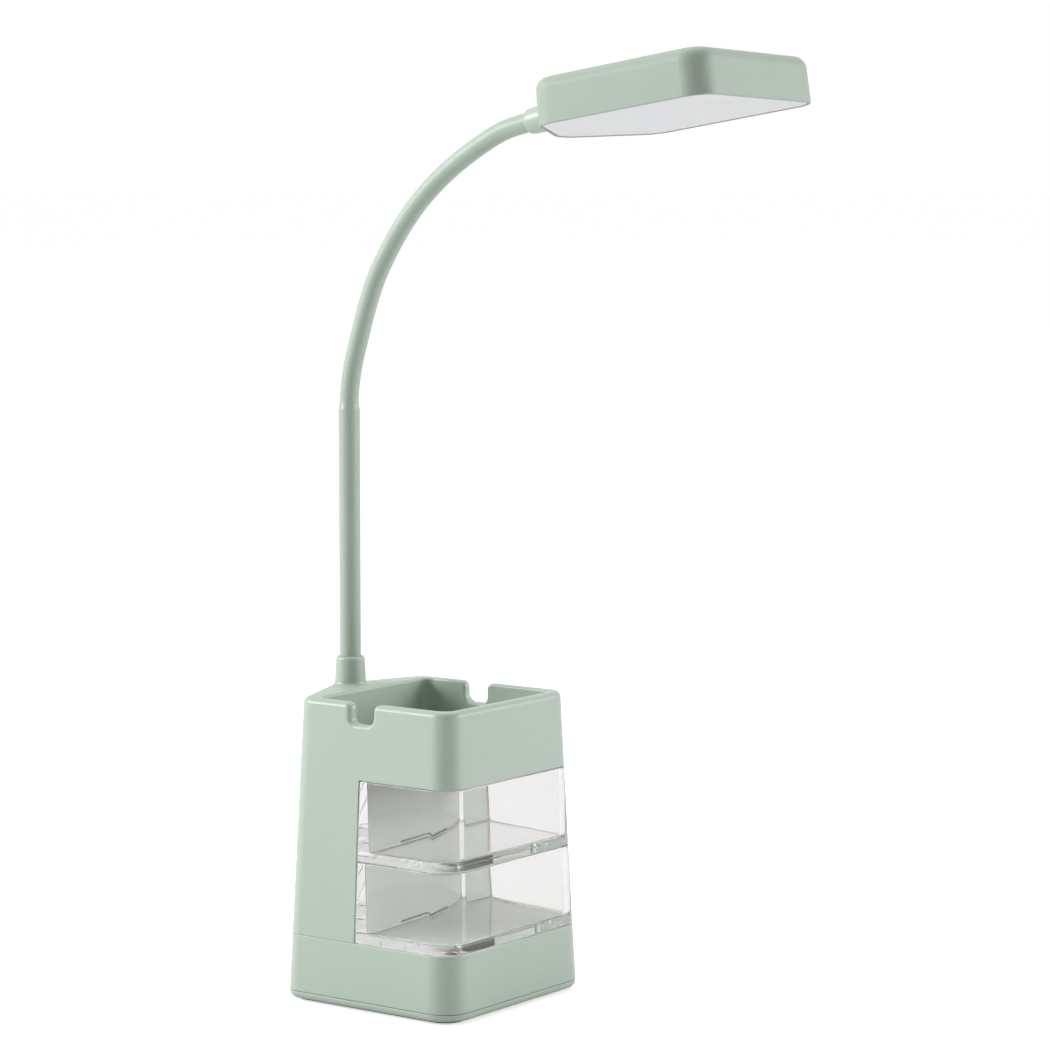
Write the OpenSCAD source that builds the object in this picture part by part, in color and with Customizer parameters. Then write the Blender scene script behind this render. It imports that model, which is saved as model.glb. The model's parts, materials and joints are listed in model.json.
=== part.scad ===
// Desk lamp whose tapered base holds a pen cup, two clear drawers and the electronics.
// Millimetres. Origin on the table under the middle of the base, front towards -Y, +Z up.

/* [Base] */
// Width of the base at its foot
base_w = 95; // [90:0.5:102]
// Distance from the origin to the front face at the foot
base_front = 52.2; // [50:0.1:56]
// Distance from the origin to the rear side corners at the foot
base_back = 34.7; // [34:0.1:37]
// Height of the cup's rim above the table
base_h = 127; // [124:0.5:134]
// Angle of the two rear faces, which meet in a shallow point
rear_angle = 21.4; // [20:0.1:23]
// Radius of the front corners at the foot
front_r = 12.9; // [11:0.1:15]
// Radius of the side rear corners
side_r = 8.5; // [7:0.1:9]
// Radius of the rear point
point_r = 14; // [12:0.5:16]
// Thickness of the outer walls
wall = 2.2; // [2:0.1:2.4]

/* [Drawers] */
// Top of the lower base section, on which the lower drawer runs
bay_z0 = 28.1; // [27.8:0.1:29]
// Bottom of the upper drawer
bay_z1 = 62.0; // [61.8:0.1:62.4]
// Bottom edge of the apron over the upper drawer
bay_z2 = 95.5; // [95:0.1:96]
// How far each drawer pulls out
drawer_travel = 33; // [20:1:33]
// Wall of a drawer at its rim
drawer_wall = 2.8; // [2:0.1:3.2]
// Floor of a drawer
drawer_floor = 3; // [2.4:0.1:3.4]
// Gap round the drawers
drawer_gap = 0.4; // [0.3:0.05:0.5]

/* [Cup] */
// Half the width of the pen cup
cup_x = 36.4; // [34:0.1:37]
// Front of the pen cup
cup_y0 = -41.8; // [-42.5:0.1:-38]
// Back of the pen cup
cup_y1 = 25.7; // [24:0.1:26]
// Floor of the shallow front half of the cup
cup_z = 100; // [99.5:0.1:104]
// Floor of the deep pen well behind it
well_z = 72; // [71.5:0.5:90]
// Width of the phone notches
notch_w = 11.6; // [10:0.1:13]
// Bottom of the phone notches
notch_z = 118; // [114:0.1:119]

/* [Stem and gooseneck] */
// Diameter of the stem
stem_d = 9; // [8.4:0.1:9.4]
// Distance of the stem behind the origin
stem_y = 38; // [37.6:0.1:38.2]
// Top of the straight stem
stem_top = 248; // [220:1:260]
// Diameter of the gooseneck
neck_d = 8; // [7:0.1:8.4]
// Length of one gooseneck link
link_l = 13.25; // [12:0.05:14]
// Gap between neighbouring links
link_gap = 1.3; // [1.25:0.05:1.4]

/* [Head] */
// Width of the head
head_w = 83; // [76:0.5:88]
// Length of the head's straight sides
head_l = 78.5; // [72:0.5:84]
// Thickness of the head
head_t = 19; // [18.8:0.1:20]
// Radius of the head's upright corners
head_r = 10.5; // [9:0.1:11.5]
// Upward tilt of the head
head_pitch = 8.7; // [6:0.1:12]
// Sideways tilt of the head
head_roll = 2; // [0:0.5:3]

/* [Hidden] */
$fn = 48;

sage = [0.72, 0.78, 0.72];
clear = [0.85, 0.9, 0.92, 0.45];
steel = [0.62, 0.63, 0.65];
white = [0.93, 0.94, 0.94];

foot_z = 1.0;                 // underside of the bottom cover
cover_z = 4.3;                // joint between the bottom cover and the base shell
split_y = -0.8;               // front edge of the rear column
side_draft = 0.05;            // each side leans in by this much per mm of height
front_draft = 0.0444;
back_draft = 0.0286;

// half width, front, side rear corner and sharp rear point of the base at a height
function bw(z) = base_w / 2 - side_draft * (z - foot_z);
function bf(z) = -base_front + front_draft * (z - foot_z);
function bb(z) = base_back - back_draft * (z - foot_z);
function ba(z) = bb(z) + bw(z) * tan(rear_angle);
function bfr(z) = front_r - 0.031 * (z - foot_z);

// gooseneck: angle of every link from the vertical, and the points where the links meet
link_a = [8, 16, 18, 22, 30, 35, 41, 48, 54, 59, 64, 75];
function neck_y(k) = k == 0 ? stem_y : neck_y(k - 1) - link_l * sin(link_a[k - 1]);
function neck_z(k) = k == 0 ? stem_top : neck_z(k - 1) + link_l * cos(link_a[k - 1]);
collar_a = 78.5;
collar_l = 19;

// the head hangs on the collar: the middle of its rear point lies on the collar's axis
point_s = 15.5;
point_y = 18.1;
head_o = [0, neck_y(12) - point_s * sin(collar_a), neck_z(12) + point_s * cos(collar_a)];

// five corner circles of the base's outline at one height, pulled in by t
module base_ring(z, t) {
  for (s = [-1, 1]) {
    translate([s * (bw(z) - bfr(z)), bf(z) + bfr(z), z])
      cylinder(r = bfr(z) - t, h = 0.01, $fn = 40);
    translate([s * (bw(z) - side_r), bb(z) - side_r * (1 - sin(rear_angle)) / cos(rear_angle), z])
      cylinder(r = side_r - t, h = 0.01, $fn = 40);
  }
  translate([0, ba(z) - point_r / cos(rear_angle), z]) cylinder(r = point_r - t, h = 0.01, $fn = 48);
}

module base_body(z0, z1, t0, t1) {
  hull() {
    base_ring(z0, t0);
    translate([0, 0, -0.01]) base_ring(z1, t1);
  }
}

// rectangle with four round corners, extruded up from z0
module round_block(x0, x1, y0, y1, r, z0, z1) {
  translate([0, 0, z0]) linear_extrude(z1 - z0) {
    translate([x0 + r, y0]) square([x1 - x0 - 2 * r, y1 - y0]);
    translate([x0, y0 + r]) square([x1 - x0, y1 - y0 - 2 * r]);
    for (x = [x0 + r, x1 - r], y = [y0 + r, y1 - r]) translate([x, y]) circle(r);
  }
}

// screw standing on its head: head from 0 down, shank up
module screw(r, l, head_r, head_h) {
  translate([0, 0, -head_h]) difference() {
    cylinder(r = head_r, h = head_h);
    for (a = [0, 90]) rotate(a) translate([-head_r * 0.6, -head_r * 0.13, -0.01])
      cube([head_r * 1.2, head_r * 0.26, head_h * 0.5]);
  }
  translate([0, 0, -0.01]) cylinder(r = r, h = l - r * 0.8 + 0.01);
  translate([0, 0, l - r * 0.8]) cylinder(r1 = r, r2 = r * 0.35, h = r * 0.8);
}

// places at which screws sit
housing_pts = [[-36, 10], [36, 10], [-24, 34], [24, 34]];
cover_pts = [[-35, -38], [35, -38], [-35, 22], [35, 22]];
liner_pts = [[-38.4, -33], [38.4, -33], [-38.4, -9], [38.4, -9]];

// ---- upper housing: column, apron, cup, deck and stem boss in one moulding
module notch_cut() {
  rotate([90, 0, 90]) linear_extrude(2 * base_w, center = true) {
    translate([-1.1 - notch_w / 2 + 3, notch_z]) square([notch_w - 6, 20]);
    translate([-1.1 - notch_w / 2, notch_z + 3]) square([notch_w, 20]);
    for (s = [-1, 1]) translate([-1.1 + s * (notch_w / 2 - 3), notch_z + 3]) circle(3);
  }
}

module upper_housing() {
  color(sage) difference() {
    union() {
      difference() {
        base_body(bay_z0, base_h, 0, 0);
        // bay for the drawers
        translate([-60, -80, bay_z0 - 1]) cube([120, 80 + split_y, bay_z2 - bay_z0 + 1]);
        // hollow column and the space under the cup and the deck
        difference() {
          base_body(bay_z0 - 1, base_h - 2.4, wall, wall);
          translate([-60, -80, cup_z - 2.2]) cube([120, 80 + cup_y1 + 2, 60]);
          translate([-36, 1.7, well_z - 2]) cube([72, cup_y1 + 2 - 1.7, 60]);
        }
      }
      // stem boss above and below the deck
      translate([0, stem_y, base_h - 2]) cylinder(r1 = 6.8, r2 = 6.0, h = 14);
      // screw bosses with their ribs
      for (p = housing_pts) {
        translate([p[0], p[1], bay_z0]) cylinder(r = 3.4, h = 16);
        if (p[1] < 20)
          translate([p[0] > 0 ? p[0] : -44, p[1] - 1, bay_z0]) cube([44 - abs(p[0]), 2, 16]);
        else
          translate([p[0] - 1, p[1], bay_z0]) cube([2, 6.6, 16]);
      }
    }
    round_block(-cup_x, cup_x, cup_y0, cup_y1, 6, cup_z, base_h + 5);
    round_block(-34, 34, 3.7, cup_y1, 4, well_z, base_h + 5);
    notch_cut();
    translate([0, stem_y, base_h - 10]) cylinder(r = stem_d / 2 + 0.05, h = 40);
    for (p = housing_pts) translate([p[0], p[1], bay_z0 - 0.5]) cylinder(r = 1.25, h = 13);
    for (p = liner_pts) translate([p[0], p[1], bay_z2 + 1]) cylinder(r = 0.9, h = 8.6);
  }
}

// ---- bay liner: ceiling over the upper drawer and front plate of the column
module bay_liner() {
  color(sage) difference() {
    union() {
      intersection() {
        base_body(bay_z2 + 0.1, bay_z2 + 2.1, wall + 0.3, wall + 0.3);
        translate([-60, -80, 0]) cube([120, 80 + 1.4, 120]);
      }
      translate([0, 1.4, 0]) rotate([90, 0, 0]) linear_extrude(2)
        polygon([[-bw(bay_z0) + wall + 0.3, bay_z0 + 0.1], [bw(bay_z0) - wall - 0.3, bay_z0 + 0.1],
          [bw(bay_z2 + 2) - wall - 0.3, bay_z2 + 2.1], [-bw(bay_z2 + 2) + wall + 0.3, bay_z2 + 2.1]]);
      for (x = [-22, 22], z = [bay_z0 + 8, bay_z1 + 2])
        translate([x, 1, z]) rotate([-90, 0, 0]) cylinder(r = 2.8, h = 6.4);
    }
    translate([-15.3, -3, bay_z0]) cube([30.6, 6, 3.8]);
    translate([-15.3, -3, bay_z1 - 0.1]) cube([30.6, 6, 3.7]);
    for (x = [-22, 22], z = [bay_z0 + 8, bay_z1 + 2])
      translate([x, 1.6, z]) rotate([-90, 0, 0]) cylinder(r = 0.9, h = 8);
    for (p = liner_pts) translate([p[0], p[1], bay_z2 - 1]) {
      cylinder(r = 1.1, h = 5);
      cylinder(r = 1.75, h = 2.3);
    }
  }
}

module liner_screws() {
  color(steel) for (p = liner_pts) translate([p[0], p[1], bay_z2 + 1.3]) screw(0.9, 7.5, 1.6, 1.1);
}

// ---- guides that carry the drawers' tongues inside the column
module drawer_guide_upper() {
  color(white) difference() {
    union() {
      translate([-18.9, 1.6, bay_z1 - 1.5]) cube([37.8, 37.7, 6.6]);
      translate([-26, 7.5, bay_z1 - 1.5]) cube([52, 2, 6.6]);
    }
    translate([-17.3, 0, bay_z1 + 0.1]) cube([34.6, 38.4, 3.4]);
    for (x = [-22, 22]) translate([x, 5, bay_z1 + 2]) rotate([-90, 0, 0]) cylinder(r = 1.1, h = 8);
  }
}

module drawer_guide_lower() {
  color(white) difference() {
    union() {
      translate([-18.9, 1.6, bay_z0 + 0.1]) cube([37.8, 37.7, 5.1]);
      translate([-26, 7.5, bay_z0 + 3.6]) cube([52, 2, 8.2]);
    }
    translate([-17.3, 0, bay_z0 - 1]) cube([34.6, 38.4, 4.6]);
    translate([-17, 6, bay_z0 + 5.2]) cube([34, 6, 9]);
    for (x = [-22, 22]) translate([x, 5, bay_z0 + 8]) rotate([-90, 0, 0]) cylinder(r = 1.1, h = 8);
  }
}

module guide_screws() {
  color(steel) for (x = [-22, 22], z = [bay_z0 + 8, bay_z1 + 2])
    translate([x, 9.5, z]) rotate([90, 0, 0]) screw(0.9, 7.2, 1.8, 1.3);
}

// ---- clear drawer: outside in line with the base, inside upright, tongue at the back
module drawer(z0, z1) {
  ix = bw(z1) - drawer_wall;
  iy = bf(z1) + drawer_wall;
  ir = bfr(z1) - drawer_wall;
  back = split_y - drawer_gap;
  color(clear) difference() {
    union() {
      intersection() {
        base_body(z0, z1, 0, 0);
        translate([-60, -80, z0 - 1]) cube([120, 80 + back, z1 - z0 + 2]);
      }
      translate([-15, back - 1, z0 + 0.2]) cube([30, 39 - back, 2.8]);
      translate([-17, 35, z0 + 0.2]) cube([34, 3, 2.8]);
    }
    hull() for (x = [-1, 1]) {
      translate([x * (ix - ir), iy + ir, z0 + drawer_floor]) cylinder(r = ir, h = z1, $fn = 48);
      translate([x * (ix - 1.2), back - 3.9 - 1.2, z0 + drawer_floor]) cylinder(r = 1.2, h = 0.01, $fn = 24);
      translate([x * (ix - 1.2), back - 2.3 - 1.2, z1]) cylinder(r = 1.2, h = z0 + drawer_floor, $fn = 24);
    }
  }
}

module drawer_upper() drawer(bay_z1 + drawer_gap / 2, bay_z2 - 0.3);
module drawer_lower() drawer(bay_z0 + 0.3, bay_z1 - drawer_gap / 2);

// ---- frame on the right rear face: x along the face, y outwards, z up
face_s = 25;
face_z = 14.2;
module rear_face() {
  translate([face_s * cos(rear_angle), ba(face_z) - face_s * sin(rear_angle), 0])
    rotate(-rear_angle) children();
}

// ---- lower half of the base
module base_shell() {
  color(sage) difference() {
    union() {
      difference() {
        base_body(cover_z + 0.15, bay_z0, 0, 0);
        base_body(cover_z - 1, bay_z0 - 2.2, wall, wall);
      }
      for (p = cover_pts) translate([p[0], p[1], 7.2]) cylinder(r = 3.4, h = bay_z0 - 2 - 7.2);
    }
    for (p = cover_pts) translate([p[0], p[1], 7]) cylinder(r = 1.25, h = 13);
    for (p = housing_pts) translate([p[0], p[1], bay_z0 - 5]) cylinder(r = 1.7, h = 8);
    translate([0, 43.5, bay_z0 - 5]) cylinder(r = 2.4, h = 8);
    rear_face() {
      // opening for the charging socket
      translate([0, 4, face_z]) rotate([90, 0, 0]) linear_extrude(8) {
        translate([-6 - 3.2, -1.9]) square([6.4, 3.8]);
        for (s = [-1, 1]) translate([-6 + s * 3.2, 0]) circle(1.9);
      }
      // opening for the power button
      translate([7, 4, face_z]) rotate([90, 0, 0]) cylinder(r = 3.8, h = 8);
    }
  }
}

module housing_screws() {
  color(steel) for (p = housing_pts) translate([p[0], p[1], bay_z0 - 2.3]) screw(1.2, 12, 2.6, 1.8);
}

module bottom_cover() {
  color(sage) difference() {
    union() {
      difference() {
        union() {
          base_body(foot_z, foot_z + 0.9, 2.4, 0.8);
          base_body(foot_z + 0.9, cover_z, 0.8, 0);
        }
        base_body(foot_z + 2.2, cover_z + 1, wall, wall);
      }
      for (p = cover_pts) translate([p[0], p[1], foot_z + 1]) cylinder(r = 4.4, h = 5.0);
      // two posts under the circuit board
      rear_face() for (x = [-9, 9])
        translate([x, -21, foot_z + 1]) cylinder(r = 2.4, h = 8.8);
    }
    base_body(foot_z - 1, foot_z + 0.6, 4.7, 4.7);
    for (p = cover_pts) translate([p[0], p[1], foot_z]) {
      cylinder(r = 2.9, h = 3.2);
      cylinder(r = 1.7, h = 9);
    }
    rear_face() for (x = [-9, 9]) translate([x, -21, foot_z + 2.5]) cylinder(r = 0.8, h = 10);
  }
}

module bottom_screws() {
  color(steel) for (p = cover_pts) translate([p[0], p[1], foot_z + 3.1]) screw(1.2, 13, 2.6, 1.8);
}

module base_pad() {
  color([0.22, 0.24, 0.23]) base_body(0, foot_z + 0.55, 5, 5);
}

module ballast_plate() {
  color(steel) difference() {
    round_block(-28, 28, -45, 5, 5, foot_z + 2.25, foot_z + 5.25);
    for (x = [-18, 18], y = [-38, -2]) translate([x, y, 0]) cylinder(r = 2.2, h = 12);
  }
}

// ---- battery along X in its cradle
cell_y = -20;
cell_z = 16.2;
module battery_cell() {
  color([0.25, 0.45, 0.62]) translate([-32.5, cell_y, cell_z]) rotate([0, 90, 0]) {
    cylinder(r = 9.2, h = 64);
    cylinder(r = 2.8, h = 65);
  }
}

module battery_cradle() {
  color([0.2, 0.2, 0.21]) difference() {
    translate([-34, cell_y - 10.6, foot_z + 5.3]) cube([68, 21.2, 9.6]);
    translate([-32.9, cell_y, cell_z]) rotate([0, 90, 0]) cylinder(r = 9.4, h = 65.8);
    translate([-24, cell_y - 20, foot_z + 9]) cube([48, 40, 20]);
    // hollow for the front cover bosses
    for (p = cover_pts) translate([p[0], p[1], 0]) cylinder(r = 5, h = 30);
  }
}

// ---- charging and switching electronics
module control_board() {
  color([0.12, 0.36, 0.22]) rear_face() difference() {
    translate([-12.5, -26, 11]) cube([25, 21.6, 1.6]);
    for (x = [-9, 9]) translate([x, -21, 9]) cylinder(r = 1.1, h = 6);
  }
  color([0.1, 0.1, 0.1]) rear_face() {
    translate([-7, -19, 12.6]) cube([6, 6, 1.6]);
    translate([2, -17, 12.6]) cube([4, 5, 1.2]);
    translate([-1.5, -22.5, 12.6]) cube([3, 3, 2]);
  }
}

module board_screws() {
  color(steel) rear_face() for (x = [-9, 9])
    translate([x, -21, 12.65]) rotate([180, 0, 0]) screw(0.75, 6, 1.7, 1.2);
}

module usb_socket() {
  color(steel) rear_face() difference() {
    translate([-6 - 4.5, -9.2, 12.6]) cube([9, 6.85, 3.3]);
    translate([-6 - 4.1, -8.2, 13]) cube([8.2, 8, 2.5]);
  }
  color([0.1, 0.1, 0.1]) rear_face() translate([-6 - 3.2, -8.3, 13.9]) cube([6.4, 5, 0.7]);
}

module tact_switch() {
  color([0.15, 0.15, 0.15]) rear_face() {
    translate([7 - 3, -8.2, 12.6]) cube([6, 3.4, 4.2]);
    translate([7, -4.0, face_z]) rotate([90, 0, 0]) cylinder(r = 1.2, h = 1.2);
  }
}

module power_button() {
  color(sage) rear_face() {
    translate([7, 1.1, face_z]) rotate([90, 0, 0]) cylinder(r = 3.45, h = 3.6);
    translate([7, -2.45, face_z]) rotate([90, 0, 0]) cylinder(r = 4.6, h = 0.9);
  }
}

// ---- lead from the circuit board up the column into the stem
lead_pts = [[10.2, 35.3, 12.65], [10.1, 35.4, 16.5], [8, 38.5, 20.4], [3, 42.4, 22.8], [0, 43.5, 27],
  [0, 43.5, 34], [0, 43.5, 60], [0, 43.4, 84], [0, 42.8, 98], [0, 41, 104],
  [0, 38.8, 108.5], [0, 38, 114], [0, 38, 124]];
head_pts = [[0, 0, 10.3], [0, -3, 10.4], [0, -7, 11.2], [0, -11, 11.3], [0, -14, 10.95], [0, -15.5, 10.75]];
function unit(v) = v / norm(v);
function dir(p, i) = unit(p[min(i + 1, len(p) - 1)] - p[max(i - 1, 0)]);
function side(d) = unit(cross(d, [0.35, 0.9, 0.12]));
module tube_along(p, r) {
  n = 12;
  m = len(p);
  pts = [for (i = [0:m - 1]) let (d = dir(p, i), u = side(d), v = cross(d, u))
    for (k = [0:n - 1]) p[i] + r * (cos(360 * k / n) * u + sin(360 * k / n) * v)];
  faces = concat([[for (k = [0:n - 1]) k]],
    [for (i = [0:m - 2], k = [0:n - 1])
      [i * n + k, (i + 1) * n + k, (i + 1) * n + (k + 1) % n, i * n + (k + 1) % n]],
    [[for (k = [n - 1:-1:0]) (m - 1) * n + k]]);
  polyhedron(points = pts, faces = faces);
}

module base_lead() {
  color([0.9, 0.9, 0.9]) tube_along(lead_pts, 1.3);
}

// ---- stem
module stem_tube() {
  color(sage) translate([0, stem_y, 0]) difference() {
    union() {
      translate([0, 0, 112]) cylinder(r = stem_d / 2, h = stem_top - 3.5 - 112);
      translate([0, 0, stem_top - 3.5]) cylinder(r1 = stem_d / 2, r2 = neck_d / 2, h = 3.5 - link_gap / 2);
    }
    translate([0, 0, 100]) cylinder(r = 2.9, h = stem_top);
  }
}

module stem_washer() {
  color(steel) translate([0, stem_y, base_h - 2.45 - 1.2]) difference() {
    cylinder(r = 6.0, h = 1.15);
    translate([0, 0, -1]) cylinder(r = 4.6, h = 4);
  }
}

module stem_nut() {
  color(steel) translate([0, stem_y, base_h - 3.7 - 4.5]) difference() {
    cylinder(r = 6.6, h = 4.45, $fn = 6);
    translate([0, 0, -1]) cylinder(r = 4.55, h = 8);
  }
}

// ---- gooseneck: one link is a short length of the sleeved flexible tube
module arm_link(i) {
  g = link_gap / 2;
  c = 0.4;
  r = neck_d / 2;
  color(sage) translate([0, neck_y(i), neck_z(i)]) rotate([link_a[i], 0, 0])
    rotate_extrude() polygon([[1.7, g], [r - c, g], [r, g + c], [r, link_l - g - c],
      [r - c, link_l - g], [1.7, link_l - g]]);
}

// ---- collar between the gooseneck and the head
module on_collar() {
  translate([0, neck_y(12), neck_z(12)]) rotate([collar_a, 0, 0]) children();
}

module neck_ferrule() {
  color(steel) on_collar() difference() {
    translate([0, 0, 0.7]) cylinder(r = 3.4, h = 30);
    cylinder(r = 1.8, h = 60);
  }
}

module head_collar() {
  color(sage) on_collar() rotate_extrude()
    polygon([[3.5, 0.6], [4.6, 0.6], [5.3, 1.6], [5.6, 6], [5.6, collar_l], [3.5, collar_l]]);
}

// ---- head, in its own frame: y towards the neck, z up, 0 at its underside
module head_frame() {
  translate(head_o) rotate([-head_pitch, 0, 0]) rotate([0, head_roll, 0])
    translate([0, -point_y, -head_t / 2]) children();
}

hv = atan2(point_y, head_w / 2 - 4.7);
hn = [sin(hv), cos(hv)];
hc = hn[0] * head_w / 2;
module head_ring(z, t) {
  x1 = head_w / 2 - head_r;
  x2 = (hc - head_r - hn[1] * (point_y - head_r)) / hn[0];
  for (s = [-1, 1]) {
    translate([s * x1, -head_l + head_r, z]) cylinder(r = head_r - t, h = 0.01, $fn = 40);
    translate([s * x1, (hc - head_r - hn[0] * x1) / hn[1], z]) cylinder(r = head_r - t, h = 0.01, $fn = 40);
    translate([s * x2, point_y - head_r, z]) cylinder(r = head_r - t, h = 0.01, $fn = 40);
  }
}

// the same outline as a straight-sided plate, pulled in by t
head_x2 = (hc - head_r - hn[1] * (point_y - head_r)) / hn[0];
head_c = [[head_w / 2 - head_r, -head_l + head_r],
  [head_w / 2 - head_r, (hc - head_r - hn[0] * (head_w / 2 - head_r)) / hn[1]],
  [head_x2, point_y - head_r], [-head_x2, point_y - head_r],
  [-head_w / 2 + head_r, (hc - head_r - hn[0] * (head_w / 2 - head_r)) / hn[1]],
  [-head_w / 2 + head_r, -head_l + head_r]];
module head_plate(z0, z1, t) {
  n = len(head_c);
  out = [for (i = [0:n - 1]) let (p = head_c[(i + n - 1) % n], c = head_c[i], q = head_c[(i + 1) % n],
    a0 = atan2(c[1] - p[1], c[0] - p[0]) - 90, a1 = atan2(q[1] - c[1], q[0] - c[0]) - 90,
    sweep = a1 - a0 + (a1 < a0 ? 360 : 0), m = ceil(sweep / 9))
    for (k = [0:m]) c + (head_r - t) * [cos(a0 + sweep * k / m), sin(a0 + sweep * k / m)]];
  translate([0, 0, z0]) linear_extrude(z1 - z0) polygon(out);
}

module head_body(z0, z1, t0, t1) {
  hull() {
    head_ring(z0, t0);
    translate([0, 0, -0.01]) head_ring(z1, t1);
  }
}

led_post = [[-24, -62], [24, -62], [-24, -18], [24, -18]];
module head_shell() {
  color(sage) difference() {
    head_frame() {
      difference() {
        union() {
          head_body(0, head_t - 5, 0, 0.28);
          head_body(head_t - 5, head_t - 1.6, 0.28, 2.0);
          head_body(head_t - 1.6, head_t, 2.0, 5.0);
        }
        head_body(-1, head_t - 5.4, 2.1, 2.4);
        head_body(head_t - 5.41, head_t - 2.2, 2.4, 4.6);
        // rebate that lets the diffuser reach almost to the edge
        head_plate(-1, 2.7, 1.0);
      }
      for (p = led_post) translate([p[0], p[1], 9.7]) difference() {
        cylinder(r = 2.6, h = head_t - 2 - 9.7);
        translate([0, 0, -1]) cylinder(r = 0.9, h = 7);
      }
      for (x = [-6.4, 6.4]) translate([x, 3, 15.2]) difference() {
        cylinder(r = 2.0, h = head_t - 2 - 15.2);
      }
    }
    on_collar() cylinder(r = 5.8, h = 21);
  }
}

module neck_clamp_half(z0, z1) {
  difference() {
    head_frame() difference() {
      translate([-9, -2, z0]) cube([18, 9.5, z1 - z0]);
      for (x = [-6.4, 6.4]) translate([x, 3, 0]) cylinder(r = 1.15, h = 20);
    }
    on_collar() cylinder(r = 3.5, h = 40);
  }
}

module neck_clamp_upper() {
  color([0.25, 0.25, 0.26]) neck_clamp_half(10.2, 15.0);
}

module neck_clamp_lower() {
  color([0.25, 0.25, 0.26]) neck_clamp_half(5.2, 9.8);
}

module clamp_screws() {
  color(steel) head_frame() for (x = [-6.4, 6.4]) translate([x, 3, 5.1]) screw(1.0, 9.6, 1.9, 1.2);
}

module reflector_frame() {
  color(white) head_frame() difference() {
    head_plate(2.75, 8.2, 2.7);
    round_block(-34, 34, -71, -8, 6, 0, 12);
    // room for the clamp and its screws
    translate([-11, -7.5, 3.6]) cube([22, 30, 8]);
  }
}

module led_board() {
  color([0.9, 0.9, 0.88]) head_frame() difference() {
    round_block(-36.5, 36.5, -73, -11, 4, 8.35, 9.55);
    for (p = led_post) translate([p[0], p[1], 5]) cylinder(r = 1.15, h = 8);
  }
}

module led_chips() {
  color([0.95, 0.85, 0.45]) head_frame()
    for (i = [-3:3], j = [0:5]) translate([i * 9.6 - 1.75, -66 + j * 9.6 - 1.4, 7.6]) cube([3.5, 2.8, 0.72]);
}

module led_screws() {
  color(steel) head_frame() for (p = led_post) translate([p[0], p[1], 8.3]) screw(0.85, 6.5, 1.7, 1.0);
}

module diffuser() {
  color(white) head_frame() head_plate(0.3, 2.6, 1.3);
}

module head_lead() {
  color([0.9, 0.9, 0.9]) head_frame() tube_along(head_pts, 1.1);
}

upper_housing();
bay_liner();
liner_screws();
drawer_guide_upper();
drawer_guide_lower();
guide_screws();
drawer_upper();
drawer_lower();
base_shell();
housing_screws();
bottom_cover();
bottom_screws();
base_pad();
ballast_plate();
battery_cradle();
battery_cell();
control_board();
board_screws();
usb_socket();
tact_switch();
power_button();
base_lead();
stem_tube();
stem_washer();
stem_nut();
arm_link(0);  // arm_link_01
arm_link(1);  // arm_link_02
arm_link(2);  // arm_link_03
arm_link(3);  // arm_link_04
arm_link(4);  // arm_link_05
arm_link(5);  // arm_link_06
arm_link(6);  // arm_link_07
arm_link(7);  // arm_link_08
arm_link(8);  // arm_link_09
arm_link(9);  // arm_link_10
arm_link(10);  // arm_link_11
arm_link(11);  // arm_link_12
neck_ferrule();
head_collar();
neck_clamp_upper();
neck_clamp_lower();
clamp_screws();
head_shell();
reflector_frame();
led_board();
led_chips();
led_screws();
diffuser();
head_lead();
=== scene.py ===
import bpy
import json
import math
import numpy as np
from mathutils import Matrix, Vector
from mathutils.kdtree import KDTree


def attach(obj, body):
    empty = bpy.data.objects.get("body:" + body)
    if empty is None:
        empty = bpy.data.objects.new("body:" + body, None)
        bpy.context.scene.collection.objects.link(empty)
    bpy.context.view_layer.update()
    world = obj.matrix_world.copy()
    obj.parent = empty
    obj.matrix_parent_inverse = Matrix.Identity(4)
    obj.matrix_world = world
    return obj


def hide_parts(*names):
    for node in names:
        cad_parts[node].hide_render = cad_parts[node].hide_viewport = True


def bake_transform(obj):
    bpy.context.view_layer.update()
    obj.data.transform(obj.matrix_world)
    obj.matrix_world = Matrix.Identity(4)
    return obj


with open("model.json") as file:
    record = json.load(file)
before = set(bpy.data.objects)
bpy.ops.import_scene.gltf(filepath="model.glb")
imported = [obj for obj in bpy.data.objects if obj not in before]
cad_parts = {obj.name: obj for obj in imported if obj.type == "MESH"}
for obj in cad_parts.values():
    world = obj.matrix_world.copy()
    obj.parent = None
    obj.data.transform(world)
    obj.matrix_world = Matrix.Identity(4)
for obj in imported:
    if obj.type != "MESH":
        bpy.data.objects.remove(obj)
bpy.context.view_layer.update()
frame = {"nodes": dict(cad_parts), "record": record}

NODES = frame["nodes"]

# ------------------------------------------------------------------ helpers
def lin(r, g, b):
    out = []
    for c in (r, g, b):
        c = c / 255.0
        out.append(c / 12.92 if c <= 0.04045 else ((c + 0.055) / 1.055) ** 2.4)
    return (out[0], out[1], out[2], 1.0)


def unit(v):
    v = np.asarray(v, float)
    n = np.linalg.norm(v, axis=-1, keepdims=True)
    return v / np.where(n < 1e-12, 1.0, n)


def signed_volume(v, faces):
    total = 0.0
    for f in faces:
        a = v[f[0]]
        for i in range(1, len(f) - 1):
            total += np.dot(a, np.cross(v[f[i]], v[f[i + 1]]))
    return total / 6.0


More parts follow.
